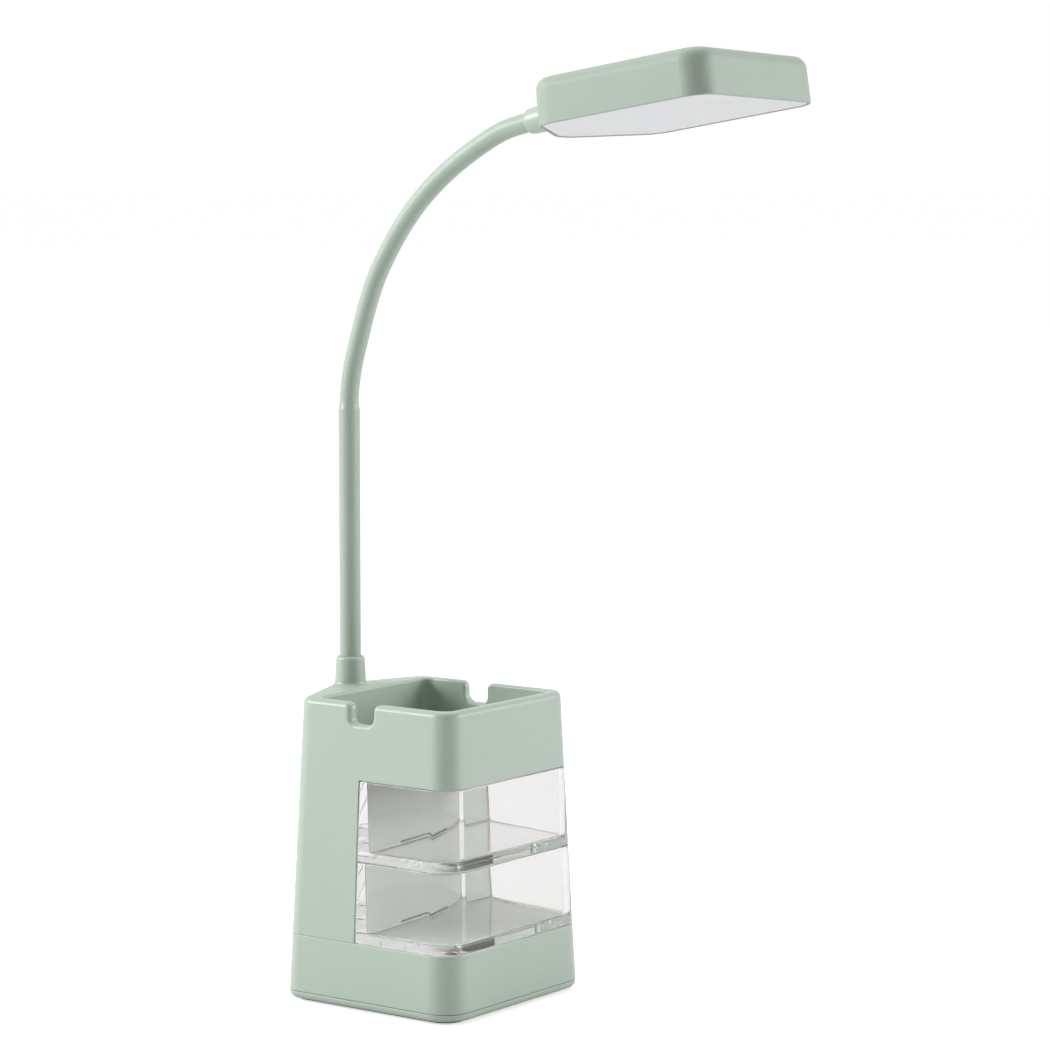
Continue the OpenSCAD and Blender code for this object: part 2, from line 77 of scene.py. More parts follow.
class Shell:
    """Vertices in mm with a normal each, and faces."""

    def __init__(self):
        self.v, self.n, self.f = [], [], []
        self.count = 0

    def ring(self, pts, nrm):
        pts, nrm = np.asarray(pts, float), unit(nrm)
        idx = list(range(self.count, self.count + len(pts)))
        self.v.append(pts)
        self.n.append(nrm)
        self.count += len(pts)
        return idx

    def strip(self, a, b, closed=True):
        m = len(a)
        for i in range(m if closed else m - 1):
            j = (i + 1) % m
            self.f.append([a[i], a[j], b[j], b[i]])

    def face(self, idx):
        self.f.append(list(idx))

    def arrays(self):
        return np.concatenate(self.v), np.concatenate(self.n)

    def obj(self, name, transform=None, flip=None):
        v, n = self.arrays()
        faces = self.f
        if (signed_volume(v, faces) < 0) if flip is None else flip:
            faces = [f[::-1] for f in faces]
        if transform is not None:
            r, t = transform
            v = v @ r.T + t
            n = n @ r.T
        return build(name, v, faces, n)


def build(name, v, faces, n=None):
    me = bpy.data.meshes.new(name)
    me.from_pydata((np.asarray(v, float) / 1000.0).tolist(), [], [list(f) for f in faces])
    me.polygons.foreach_set("use_smooth", [True] * len(me.polygons))
    me.update()
    if n is not None:
        me.normals_split_custom_set_from_vertices(unit(n).tolist())
    o = bpy.data.objects.new(name, me)
    bpy.context.scene.collection.objects.link(o)
    if n is not None:
        o["_rest_n"] = 1
        STORE[name] = (np.asarray(v, float) / 1000.0, unit(n))
    return o


STORE = {}


def cut(o, tools, keep_new_smooth=False):
    """Boolean difference that keeps the smooth normals of what was there."""
    for t in tools:
        m = o.modifiers.new("cut", "BOOLEAN")
        m.operation = "DIFFERENCE"
        m.solver = "EXACT"
        m.object = t
    bpy.context.view_layer.update()
    dg = bpy.context.evaluated_depsgraph_get()
    me = bpy.data.meshes.new_from_object(o.evaluated_get(dg))
    o.modifiers.clear()
    old = o.data
    o.data = me
    bpy.data.meshes.remove(old)
    for t in tools:
        d = t.data
        bpy.data.objects.remove(t)
        bpy.data.meshes.remove(d)
    v0, n0 = STORE[o.name]
    kd = KDTree(len(v0))
    for i, c in enumerate(v0):
        kd.insert(c, i)
    kd.balance()
    near = []
    for vert in me.vertices:
        _, i, d = kd.find(vert.co)
        near.append(i if d < 2e-7 else -1)
    loops = [None] * len(me.loops)
    for p in me.polygons:
        fn = p.normal
        for li in p.loop_indices:
            i = near[me.loops[li].vertex_index]
            nn = Vector(n0[i]) if i >= 0 else None
            loops[li] = tuple(nn) if nn is not None and nn.dot(fn) > 0.55 else tuple(fn)
    me.polygons.foreach_set("use_smooth", [True] * len(me.polygons))
    me.normals_split_custom_set(loops)
    me.update()
    return o


def prism(name, pts, z0, z1):
    """Closed prism in mm from a list of (x, y), for cutting."""
    m = len(pts)
    v = [(x, y, z0) for x, y in pts] + [(x, y, z1) for x, y in pts]
    faces = [list(range(m))[::-1], list(range(m, 2 * m))]
    faces += [[i, (i + 1) % m, (i + 1) % m + m, i + m] for i in range(m)]
    v = np.array(v, float)
    if signed_volume(v, faces) < 0:
        faces = [f[::-1] for f in faces]
    return build(name, v, faces)


# ------------------------------------------------------------------ outline of the base, in mm
GAMMA = math.radians(21.4)
SG, CG, TG = math.sin(GAMMA), math.cos(GAMMA), math.tan(GAMMA)
RS, RA = 8.5, 14.0


def bw(z): return 47.5 - 0.05 * (z - 1)
def bf(z): return -52.2 + 0.0444 * (z - 1)
def bb(z): return 34.7 - 0.0286 * (z - 1)
def ba(z): return bb(z) + bw(z) * TG
def bfr(z): return 12.9 - 0.031 * (z - 1)


N_SIDE = unit([1, 0, 0.05])
N_FRONT = unit([0, -1, 0.0444])
N_REAR = unit([SG, CG, 0.0286 * CG + 0.05 * SG])


class Station:
    """One place round the base: where it lies at height z and inset t, with its normal."""

    def __init__(self, kind, u, side=1):
        self.kind, self.u, self.side = kind, u, side

    def at(self, z, t=0.0):
        k, u, s = self.kind, self.u, self.side
        w, F, B, A, rf = bw(z), bf(z), bb(z), ba(z), bfr(z)
        if k == "front":
            return np.array([u * (w - rf), F + t, z])
        if k == "fc":
            a = math.radians(u)
            return np.array([s * (w - rf + (rf - t) * math.cos(a)), F + rf + (rf - t) * math.sin(a), z])
        if k == "side":
            return np.array([s * (w - t), u, z])
        if k == "bc":
            a = math.radians(u)
            cy = B - RS * (1 - SG) / CG
            return np.array([s * (w - RS + (RS - t) * math.cos(a)), cy + (RS - t) * math.sin(a), z])
        cya = A - RA / CG
        if k == "rear":
            cy = B - RS * (1 - SG) / CG
            p = np.array([w - RS + (RS - t) * SG, cy + (RS - t) * CG])
            q = np.array([(RA - t) * SG, cya + (RA - t) * CG])
            x, y = p + (q - p) * u
            return np.array([s * x, y, z])
        if k == "apex":
            a = math.radians(u)
            return np.array([(RA - t) * math.cos(a), cya + (RA - t) * math.sin(a), z])

    def normal(self, z=60.0):
        k, u, s = self.kind, self.u, self.side
        if k == "front":
            return N_FRONT
        if k == "side":
            return N_SIDE * [s, 1, 1]
        if k == "rear":
            return N_REAR * [s, 1, 1]
        e = 1e-3
        a = math.radians(u)
        if k == "fc":
            h = np.array([s * math.cos(a), math.sin(a), 0.0])
        elif k == "bc":
            h = np.array([s * math.cos(a), math.sin(a), 0.0])
        else:
            h = np.array([math.cos(a), math.sin(a), 0.0])
        slope = (self.at(z + 1) - self.at(z - 1)) / 2
        return unit(h - np.array([0, 0, 1.0]) * np.dot(slope, h))


def base_stations(side_ys, nf=8, narc=14, nrear=5, nap=12):
    """Anticlockwise from the front left: front, right side, rear, left side."""
    right = [Station("fc", -90 + 90 * i / narc, 1) for i in range(narc + 1)]
    right += [Station("side", y, 1) for y in side_ys]
    top = 90 - math.degrees(GAMMA)
    nb = max(6, int(narc * 0.75))
    right += [Station("bc", top * i / nb, 1) for i in range(nb + 1)]
    right += [Station("rear", i / (nrear + 1), 1) for i in range(1, nrear + 1)]
    apex = [Station("apex", top + (180 - 2 * top) * i / nap) for i in range(nap + 1)]
    left = [Station(s.kind, s.u, -1) for s in right[::-1]]
    front = [Station("front", -1 + 2 * i / nf) for i in range(1, nf)]
    return right, apex, left, front


def arc(n):
    return [math.pi / 2 * i / n for i in range(n + 1)]


# ------------------------------------------------------------------ materials
def new_mat(name):
    m = bpy.data.materials.new(name)
    m.use_nodes = True
    nt = m.node_tree
    b = nt.nodes["Principled BSDF"]
    return m, nt, b


def mottled(nt, b, base, amount=0.03, scale=60.0, rough=(0.36, 0.44), bump=0.05, bump_scale=900.0, dist=0.00006):
    """Slight colour drift, uneven gloss and the fine texture of a moulded or coated surface."""
    tc = nt.nodes.new("ShaderNodeTexCoord")
    n1 = nt.nodes.new("ShaderNodeTexNoise")
    n1.inputs["Scale"].default_value = scale
    n1.inputs["Detail"].default_value = 4.0
    nt.links.new(tc.outputs["Object"], n1.inputs["Vector"])
    ramp = nt.nodes.new("ShaderNodeValToRGB")
    lo = [max(0, c * (1 - amount)) for c in base[:3]] + [1]
    hi = [min(1, c * (1 + amount)) for c in base[:3]] + [1]
    ramp.color_ramp.elements[0].position = 0.3
    ramp.color_ramp.elements[0].color = lo
    ramp.color_ramp.elements[1].position = 0.7
    ramp.color_ramp.elements[1].color = hi
    nt.links.new(n1.outputs["Fac"], ramp.inputs["Fac"])
    nt.links.new(ramp.outputs["Color"], b.inputs["Base Color"])
    mr = nt.nodes.new("ShaderNodeMapRange")
    mr.inputs["From Min"].default_value = 0.3
    mr.inputs["From Max"].default_value = 0.7
    mr.inputs["To Min"].default_value = rough[0]
    mr.inputs["To Max"].default_value = rough[1]
    n2 = nt.nodes.new("ShaderNodeTexNoise")
    n2.inputs["Scale"].default_value = scale * 3.1
    n2.inputs["Detail"].default_value = 3.0
    nt.links.new(tc.outputs["Object"], n2.inputs["Vector"])
    nt.links.new(n2.outputs["Fac"], mr.inputs["Value"])
    nt.links.new(mr.outputs["Result"], b.inputs["Roughness"])
    n3 = nt.nodes.new("ShaderNodeTexNoise")
    n3.inputs["Scale"].default_value = bump_scale
    n3.inputs["Detail"].default_value = 2.0
    nt.links.new(tc.outputs["Object"], n3.inputs["Vector"])
    bp = nt.nodes.new("ShaderNodeBump")
    bp.inputs["Strength"].default_value = bump
    bp.inputs["Distance"].default_value = dist
    nt.links.new(n3.outputs["Fac"], bp.inputs["Height"])
    nt.links.new(bp.outputs["Normal"], b.inputs["Normal"])


SAGE = lin(173, 187, 175)

M = {}
# The head's copy of the sage is darker than the body's: painted shade on the head, which the lamps light more than the
# body.
# The liner's copy of the sage is lighter than the body's: painted light on the bay liner, which sits in the apron's
# shade behind the clear drawers.
for key, tone, coat, gloss in (("sage_plastic", SAGE, 0.16, (0.36, 0.42)), ("sage_head_painted_shade", lin(160, 174, 162), 0.0, (0.50, 0.56)), ("sage_liner_painted_light", lin(195, 203, 196), 0.1, (0.36, 0.42))):
    m, nt, b = new_mat(key)
    mottled(nt, b, tone, 0.012, 28.0, gloss, 0.06, 1400.0, 0.00004)
    b.inputs["IOR"].default_value = 1.5
    b.inputs["Specular IOR Level"].default_value = 0.5
    b.inputs["Coat Weight"].default_value = coat
    b.inputs["Coat Roughness"].default_value = 0.2
    M[key] = m

m, nt, b = new_mat("sage_coated_metal")
mottled(nt, b, lin(168, 183, 170), 0.015, 40.0, (0.36, 0.43), 0.08, 1800.0, 0.00004)
b.inputs["IOR"].default_value = 1.48
M["sage_coated_metal"] = m

m, nt, b = new_mat("sage_sleeve")
mottled(nt, b, lin(168, 183, 170), 0.015, 40.0, (0.40, 0.47), 0.12, 1500.0, 0.00005)
b.inputs["IOR"].default_value = 1.47
M["sage_sleeve"] = m

m, nt, b = new_mat("clear_plastic")
tc = nt.nodes.new("ShaderNodeTexCoord")
nz = nt.nodes.new("ShaderNodeTexNoise")
nz.inputs["Scale"].default_value = 55.0
nz.inputs["Detail"].default_value = 1.0
nt.links.new(tc.outputs["Object"], nz.inputs["Vector"])
rr = nt.nodes.new("ShaderNodeMapRange")
rr.inputs["To Min"].default_value = 0.0
rr.inputs["To Max"].default_value = 0.03
nt.links.new(nz.outputs["Fac"], rr.inputs["Value"])
nt.links.new(rr.outputs["Result"], b.inputs["Roughness"])
bp = nt.nodes.new("ShaderNodeBump")
bp.inputs["Strength"].default_value = 0.12
bp.inputs["Distance"].default_value = 0.0003
nt.links.new(nz.outputs["Fac"], bp.inputs["Height"])
nt.links.new(bp.outputs["Normal"], b.inputs["Normal"])
b.inputs["Base Color"].default_value = (0.974, 0.968, 0.966, 1)
b.inputs["Transmission Weight"].default_value = 1.0
b.inputs["IOR"].default_value = 1.49
lp = nt.nodes.new("ShaderNodeLightPath")
clear = nt.nodes.new("ShaderNodeBsdfTransparent")
clear.inputs["Color"].default_value = (0.96, 0.96, 0.96, 1)
mixer = nt.nodes.new("ShaderNodeMixShader")
nt.links.new(lp.outputs["Is Shadow Ray"], mixer.inputs["Fac"])
nt.links.new(b.outputs["BSDF"], mixer.inputs[1])
nt.links.new(clear.outputs["BSDF"], mixer.inputs[2])
nt.links.new(mixer.outputs["Shader"], nt.nodes["Material Output"].inputs["Surface"])
M["clear_plastic"] = m

m, nt, b = new_mat("diffuser_white")
mottled(nt, b, lin(230, 231, 233), 0.01, 35.0, (0.38, 0.46), 0.05, 2200.0, 0.00003)
b.inputs["Subsurface Weight"].default_value = 0.25
b.inputs["Subsurface Radius"].default_value = (0.004, 0.004, 0.004)
b.inputs["Subsurface Scale"].default_value = 0.6
b.inputs["Emission Color"].default_value = (1, 1, 1, 1)
b.inputs["Emission Strength"].default_value = 0.0
M["diffuser_white"] = m

m, nt, b = new_mat("pad_rubber")
mottled(nt, b, lin(52, 55, 54), 0.12, 300.0, (0.75, 0.9), 0.5, 2600.0, 0.0001)
M["pad_rubber"] = m

m, nt, b = new_mat("steel")
mottled(nt, b, lin(178, 180, 184), 0.06, 90.0, (0.25, 0.4), 0.1, 1600.0, 0.00005)
b.inputs["Metallic"].default_value = 1.0
M["steel"] = m

m, nt, b = new_mat("white_plastic")
mottled(nt, b, lin(226, 227, 224), 0.02, 60.0, (0.45, 0.55), 0.08, 1500.0, 0.00005)
M["white_plastic"] = m

m, nt, b = new_mat("black_plastic")
mottled(nt, b, lin(36, 36, 38), 0.15, 80.0, (0.4, 0.55), 0.1, 1500.0, 0.00005)
M["black_plastic"] = m

m, nt, b = new_mat("cell_wrap")
mottled(nt, b, lin(58, 104, 150), 0.05, 50.0, (0.22, 0.34), 0.05, 600.0, 0.00008)
M["cell_wrap"] = m

m, nt, b = new_mat("circuit_board")
mottled(nt, b, lin(34, 96, 58), 0.25, 260.0, (0.25, 0.4), 0.2, 900.0, 0.00008)
M["circuit_board"] = m

m, nt, b = new_mat("board_aluminium")
mottled(nt, b, lin(228, 229, 225), 0.02, 60.0, (0.3, 0.4), 0.05, 900.0, 0.00005)
M["board_aluminium"] = m

m, nt, b = new_mat("led_phosphor")
mottled(nt, b, lin(238, 212, 120), 0.05, 400.0, (0.2, 0.3), 0.05, 900.0, 0.00005)
M["led_phosphor"] = m


def assign(o, mat):
    o.data.materials.clear()
    o.data.materials.append(M[mat])


for row in frame["record"]["subparts"]:
    o = NODES[row["node"]]
    # the bay liner takes the lighter copy of the sage: painted light where the apron shades it
    s = "sage_liner_painted_light" if row["node"] == "bay_liner" else row["material_slot"]
    if not o.material_slots:
        o.data.materials.append(M[s])
    for ms in o.material_slots:
        ms.material = M[s]


def piece(o, mat, body, replaces=()):
    assign(o, mat)
    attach(o, body)
    if replaces:
        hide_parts(*replaces)
    return o


# ------------------------------------------------------------------ upper housing
RIM = 127.0
NOTCH_Y, NOTCH_HW, NOTCH_Z, RC, RB = -1.1, 5.8, 118.0, 2.75, 3.0
BAY_TOP, BAY_BOT, BAY_Y = 95.5, 28.1, -0.8
CUP_X, CUP_F, CUP_B, CUP_R = 36.36, -41.76, 25.7, 4.6
E = 0.35
R_RIM = 2.38
R_IN = 1.1


def side_paths():
    """Stations of the right side from front to back: (y on rim path, z, N_y, N_z, y on walls, y on skirt, z on skirt, skirt N)."""
    y1 = NOTCH_Y - NOTCH_HW - RC
    rows = []
    top = []
    for y in np.linspace(-34, y1, 7)[:-1]:
        top.append((y, RIM, 0, 1))
    n = 8
    for i in range(n + 1):
        a = math.pi / 2 * (1 - i / n)
        top.append((y1 + RC * math.cos(a), RIM - RC + RC * math.sin(a), math.cos(a), math.sin(a)))
    yv = NOTCH_Y - NOTCH_HW
    for k in (1, 2):
        top.append((yv, RIM - RC + (NOTCH_Z + RB - RIM + RC) * k / 3, 1, 0))
    for i in range(n + 1):
        a = math.pi + math.pi / 2 * i / n
        top.append((yv + RB + RB * math.cos(a), NOTCH_Z + RB + RB * math.sin(a), -math.cos(a), -math.sin(a)))
    half = list(top)
    mid = [(NOTCH_Y - 1.2, NOTCH_Z, 0, 1), (NOTCH_Y, NOTCH_Z, 0, 1), (NOTCH_Y + 1.2, NOTCH_Z, 0, 1)]
    back = []
    nfr = 6
    for (y, z, ny, nz) in half[:nfr - 1:-1]:
        back.append((2 * NOTCH_Y - y, z, -ny, nz))
    y2 = NOTCH_Y + NOTCH_HW + RC
    for y in np.linspace(y2, 22, 6)[1:]:
        back.append((y, RIM, 0, 1))
    top = half + mid + back
    m = len(top)
    # path length along the notch gives the walls' y a smooth spread
    ys = []
    s = [0.0]
    for a, b_ in zip(top[:-1], top[1:]):
        s.append(s[-1] + math.hypot(b_[0] - a[0], b_[1] - a[1]))
    i0 = nfr                      # start of first round
    i1 = len(half) - 1            # end of the first lower round
    i2 = i1 + len(mid) + 1
    i3 = m - 1 - 5
    for i, (y, z, ny, nz) in enumerate(top):
        if i < i0:
            ys.append(-34 + (y + 34) * (-15.0 + 34) / (y1 + 34))
        elif i <= i1:
            f = (s[i] - s[i0]) / (s[i1] - s[i0])
            ys.append(-15.0 + f * (top[i1][0] + 15.0))
        elif i < i2:
            ys.append(y)
        elif i <= i3:
            f = (s[i] - s[i2]) / (s[i3] - s[i2])
            ys.append(top[i2][0] + f * (13.0 - top[i2][0]))
        else:
            ys.append(13.0 + (y - top[i3][0]) * (22 - 13.0) / (22 - top[i3][0]))
    # skirt: apron edge until the bay's rear edge, down, then the column's foot
    out = []
    k1 = i1 + 1                   # first middle station
    for i, (y, z, ny, nz) in enumerate(top):
        if i < k1:
            sk = (min(ys[i], -1.6), BAY_TOP, 0, -1)
        elif i == k1:
            sk = (BAY_Y, BAY_TOP, -1, -1)
        elif i == k1 + 1:
            sk = (BAY_Y, 61.8, -1, 0)
        elif i == k1 + 2:
            sk = (BAY_Y, BAY_BOT, -1, -1)
        else:
            sk = (ys[i], BAY_BOT, 0, -1)
        out.append(((y, z, ny, nz), ys[i], sk))
    return out


def make_upper_housing():
    sp = side_paths()
    right, apex, left, front = base_stations([0.0] * len(sp), nf=10, narc=16, nrear=6, nap=14)
    na = 17
    for i, row in enumerate(sp):
        right[na + i].u = row[1]
        right[na + i].row = row
        left[len(right) - 1 - na - i].u = row[1]
        left[len(right) - 1 - na - i].row = row
    ring = right + apex + left + front
    mlen = len(ring)
    tx = lambda s: 1.0 if s.side > 0 else -1.0
    # inner ring of the cup, station by station
    nb = len([s for s in right if s.kind == "bc"])
    rear_r = [s for s in right if s.kind == "rear"]
    back_x = CUP_X - CUP_R

    def cup_point(s, inset=0.0):
        cx, cf, cb, cr = CUP_X - inset, CUP_F + inset, CUP_B - inset, max(CUP_R - inset, 0.6)
        if s.kind == "front":
            return np.array([s.u * (cx - cr), cf]), np.array([0, 1.0])
        if s.kind == "fc":
            a = math.radians(s.u)
            return (np.array([s.side * (cx - cr + cr * math.cos(a)), cf + cr + cr * math.sin(a)]),
                    np.array([-s.side * math.cos(a), -math.sin(a)]))
        if s.kind == "side":
            y = s.u
            if y > 13.0:
                y = 13.0 + (y - 13.0) * (cb - cr - 0.3 - 13.0) / (22 - 13.0)
            return np.array([s.side * cx, y]), np.array([-s.side, 0.0])
        if s.kind == "bc":
            top = 90 - math.degrees(GAMMA)
            a = math.radians(s.u * 90 / top)
            return (np.array([s.side * (cx - cr + cr * math.cos(a)), cb - cr + cr * math.sin(a)]),
                    np.array([-s.side * math.cos(a), -math.sin(a)]))
        x = s.at(RIM)[0]
        lim = cx - cr
        xm = rear_r[0].at(RIM)[0]
        if abs(x) > 5:
            k = (len(rear_r) + 1)
            x = math.copysign(min(abs(x), lim * 0.97), x)
        return np.array([x, cb]), np.array([0, -1.0])

    sh = Shell()
    # --- outside: rim, upper wall, skirt
    prof_o = arc(6)
    prof_i = arc(6)
    rim_o = [[] for _ in prof_o]
    rim_on = [[] for _ in prof_o]
    rim_i = [[] for _ in prof_i]
    rim_in = [[] for _ in prof_i]
    mid_o, mid_n = [], []
    for s in ring:
        nf_ = s.normal(RIM)
        if s.kind == "side":
            (y, z, ny, nz), yw, sk = s.row
            R = np.array([s.side * bw(z), y, z])
            N = unit(np.array([0, ny, nz]))
        else:
            R = s.at(RIM)
            N = np.array([0, 0, 1.0])
        g = float(nf_ @ N)
        ro_ = R_RIM
        if s.kind == "side" and s.row[0][1] < 123 and s.row[0][3] > 0:
            ro_ = R_RIM + (1.35 - R_RIM) * s.row[0][3]
        a = ro_ / (1 + g)
        c = R - a * nf_ - a * N
        th = math.acos(max(-1, min(1, g)))
        for k, ph in enumerate(prof_o):
            f = ph / (math.pi / 2)
            d = (math.sin((1 - f) * th) * nf_ + math.sin(f * th) * N) / math.sin(th)
            rim_o[k].append(c + ro_ * d)
            rim_on[k].append(d)
        p2, n2 = cup_point(s)
        if s.kind == "side":
            P = np.array([s.side * CUP_X, s.row[0][0], s.row[0][1]])
            if s.row[0][0] > NOTCH_Y + NOTCH_HW + RC + 0.01:
                P[1] = p2[1]
        else:
            P = np.array([p2[0], p2[1], RIM])
        ni = np.array([n2[0], n2[1], 0.0])
        c = P - R_IN * ni - R_IN * N
        for k, ph in enumerate(prof_i):
            d = math.sin(ph) * ni + math.cos(ph) * N
            rim_i[k].append(c + R_IN * d)
            rim_in[k].append(d)
        mid_o.append(s.at(104.0))
        mid_n.append(nf_)
    ro = [sh.ring(p, n) for p, n in zip(rim_o, rim_on)]
    for a, b_ in zip(ro[:-1], ro[1:]):
        sh.strip(a, b_)
    ri = [sh.ring(p, n) for p, n in zip(rim_i, rim_in)]
    sh.strip(ro[-1], ri[0])
    for a, b_ in zip(ri[:-1], ri[1:]):
        sh.strip(a, b_)
    mo = sh.ring(mid_o, mid_n)
    sh.strip(mo, ro[0])
    # --- skirt
    prof = arc(3)
    sk_p = [[] for _ in prof]
    sk_n = [[] for _ in prof]
    plane = []
    for s in ring:
        nf_ = s.normal(60)
        if s.kind == "side":
            y, z, ny, nz = s.row[2]
            R = np.array([s.side * bw(z), y, z])
            N = np.array([0, ny, nz], float)
            tag = "K1" if (ny, nz) == (-1, -1) and z > 90 else "V" if (ny, nz) == (-1, 0) else "K2" if (ny, nz) == (-1, -1) else "A" if z > 90 else "F"
        elif s.kind in ("fc", "front"):
            R, N, tag = s.at(BAY_TOP), np.array([0, 0, -1.0]), "A"
        else:
            R, N, tag = s.at(BAY_BOT), np.array([0, 0, -1.0]), "F"
        plane.append(tag)
        nt_ = nf_ - N * (nf_ @ unit(N)) * 0
        c = R - E * nf_ - E * N
        for k, ph in enumerate(prof):
            sk_p[k].append(c + E * (math.cos(ph) * nf_ + math.sin(ph) * N))
            sk_n[k].append(math.cos(ph) * nf_ + math.sin(ph) * unit(N))
    so = [sh.ring(p, n) for p, n in zip(sk_p, sk_n)]
    sh.strip(so[0], mo)
    for a, b_ in zip(so[1:], so[:-1]):
        sh.strip(a, b_)
    last = so[-1]
    P = np.array(sk_p[-1])
    nA = np.tile([0, 0, -1.0], (mlen, 1))
    ringA = sh.ring(P, nA)                      # apron and foot planes, flat normals
    nF = np.tile([0, -1.0, 0], (mlen, 1))
    iA = [i for i in range(mlen) if plane[i] in ("A", "K1")]
    iF = [i for i in range(mlen) if plane[i] in ("F", "K2")]
    iV = [i for i in range(mlen) if plane[i] in ("K1", "V", "K2")]
    # order them along the ring
    kr = [i for i in iV if ring[i].side > 0]
    kl = [i for i in iV if ring[i].side < 0]
    a_right = [i for i in range(0, kr[0] + 1)]
    a_left = [i for i in range(kl[-1], mlen)]
    sh.face([last[i] for i in a_left + a_right])
    sh.face([last[i] for i in range(kr[-1], kl[0] + 1)])
    sh.face([last[i] for i in kr] + [last[i] for i in kl])
    sh.v.pop(); sh.n.pop(); sh.count -= mlen     # the spare ring isn't used
    # --- inside of the cup: wall, floor fillet, floor, well
    zf, rfil = 100.0, 2.2
    ins = [(0.0, 104.0, 1, 0)]
    prev = ri[-1]
    pts, nn = [], []
    for s in ring:
        p2, n2 = cup_point(s)
        pts.append([p2[0], p2[1], 108.0]); nn.append([n2[0], n2[1], 0])
    cur = sh.ring(pts, nn); sh.strip(prev, cur); prev = cur
    for ph in arc(5):
        t = rfil * (1 - math.cos(ph)); z = zf + rfil * (1 - math.sin(ph))
        pts, nn = [], []
        for s in ring:
            p2, n2 = cup_point(s, t)
            pts.append([p2[0], p2[1], z])
            nn.append([n2[0] * math.cos(ph), n2[1] * math.cos(ph), math.sin(ph)])
        cur = sh.ring(pts, nn); sh.strip(prev, cur); prev = cur
    WX, WF, WB, WR = 33.0, 4.6, 22.6, 3.6

    def well_point(s, ins_):
        x0, f0, b0, r0 = WX - ins_, WF + ins_, WB - ins_, WR - ins_
        if s.kind == "front":
            return np.array([s.u * (x0 - r0), f0]), np.array([0, 1.0])
        if s.kind == "fc":
            a = math.radians(s.u)
            return (np.array([s.side * (x0 - r0 + r0 * math.cos(a)), f0 + r0 + r0 * math.sin(a)]),
                    np.array([-s.side * math.cos(a), -math.sin(a)]))
        if s.kind == "side":
            f = (s.u + 34) / 56.0
            y = f0 + r0 + 0.15 + f * (b0 - f0 - 2 * r0 - 0.3)
            return np.array([s.side * x0, y]), np.array([-s.side, 0.0])
        if s.kind == "bc":
            top = 90 - math.degrees(GAMMA)
            a = math.radians(s.u * 90 / top)
            return (np.array([s.side * (x0 - r0 + r0 * math.cos(a)), b0 - r0 + r0 * math.sin(a)]),
                    np.array([-s.side * math.cos(a), -math.sin(a)]))
        x = s.at(RIM)[0]
        x = x * (x0 - r0) / (CUP_X - CUP_R) * 0.98
        x = math.copysign(min(abs(x), (x0 - r0) * 0.98), x)
        return np.array([x, b0]), np.array([0, -1.0])

    for ph in arc(4):
        t = 1.0 - math.sin(ph) ; z = zf - (1.0 - math.cos(ph))
        pts, nn = [], []
        for s in ring:
            p2, n2 = well_point(s, -t)
            pts.append([p2[0], p2[1], z])
            nn.append([n2[0] * math.sin(ph), n2[1] * math.sin(ph), math.cos(ph)])
        cur = sh.ring(pts, nn); sh.strip(prev, cur); prev = cur
    for ph in arc(4):
        t = 2.0 * (1 - math.cos(ph)); z = 72.0 + 2.0 * (1 - math.sin(ph))
        pts, nn = [], []
        for s in ring:
            p2, n2 = well_point(s, t)
            pts.append([p2[0], p2[1], z])
            nn.append([n2[0] * math.cos(ph), n2[1] * math.cos(ph), math.sin(ph)])
        cur = sh.ring(pts, nn); sh.strip(prev, cur); prev = cur
    sh.face(prev)
    o = sh.obj("upper_housing_skin")
    # --- hollow column
    st_r, st_a, st_l, st_f = base_stations([-30, 0, 20], nf=2, narc=8, nrear=1, nap=6)
    rg = st_r + st_a + st_l + st_f

    def body(z0, z1, t, ymax=None):
        s2 = Shell()
        lo = s2.ring([q.at(z0, t) for q in rg], [q.normal() for q in rg])
        hi = s2.ring([q.at(z1, t) for q in rg], [q.normal() for q in rg])
        s2.strip(lo, hi)
        s2.face(lo[::-1])
        s2.face(hi)
        return s2.obj("tool")

    t1 = body(20.0, 97.8, 2.2)
    keep = prism("keep", [(-35.2, 2.4), (35.2, 2.4), (35.2, 24.9), (-35.2, 24.9)], 70.0, 140.0)
    mod = t1.modifiers.new("k", "BOOLEAN"); mod.operation = "DIFFERENCE"; mod.solver = "EXACT"; mod.object = keep
    bpy.context.view_layer.update()
    me = bpy.data.meshes.new_from_object(t1.evaluated_get(bpy.context.evaluated_depsgraph_get()))
    t1.modifiers.clear(); t1.data = me
    bpy.data.objects.remove(keep)
    t2 = prism("tool2", [(-22.0, 28.4), (22.0, 28.4), (22.0, 33.6), (5.0, 41.6), (-5.0, 41.6), (-22.0, 33.6)], 90.0, 124.4)
    return cut(o, [t1, t2])


housing = make_upper_housing()
piece(housing, "sage_plastic", "base", replaces=["upper_housing"])


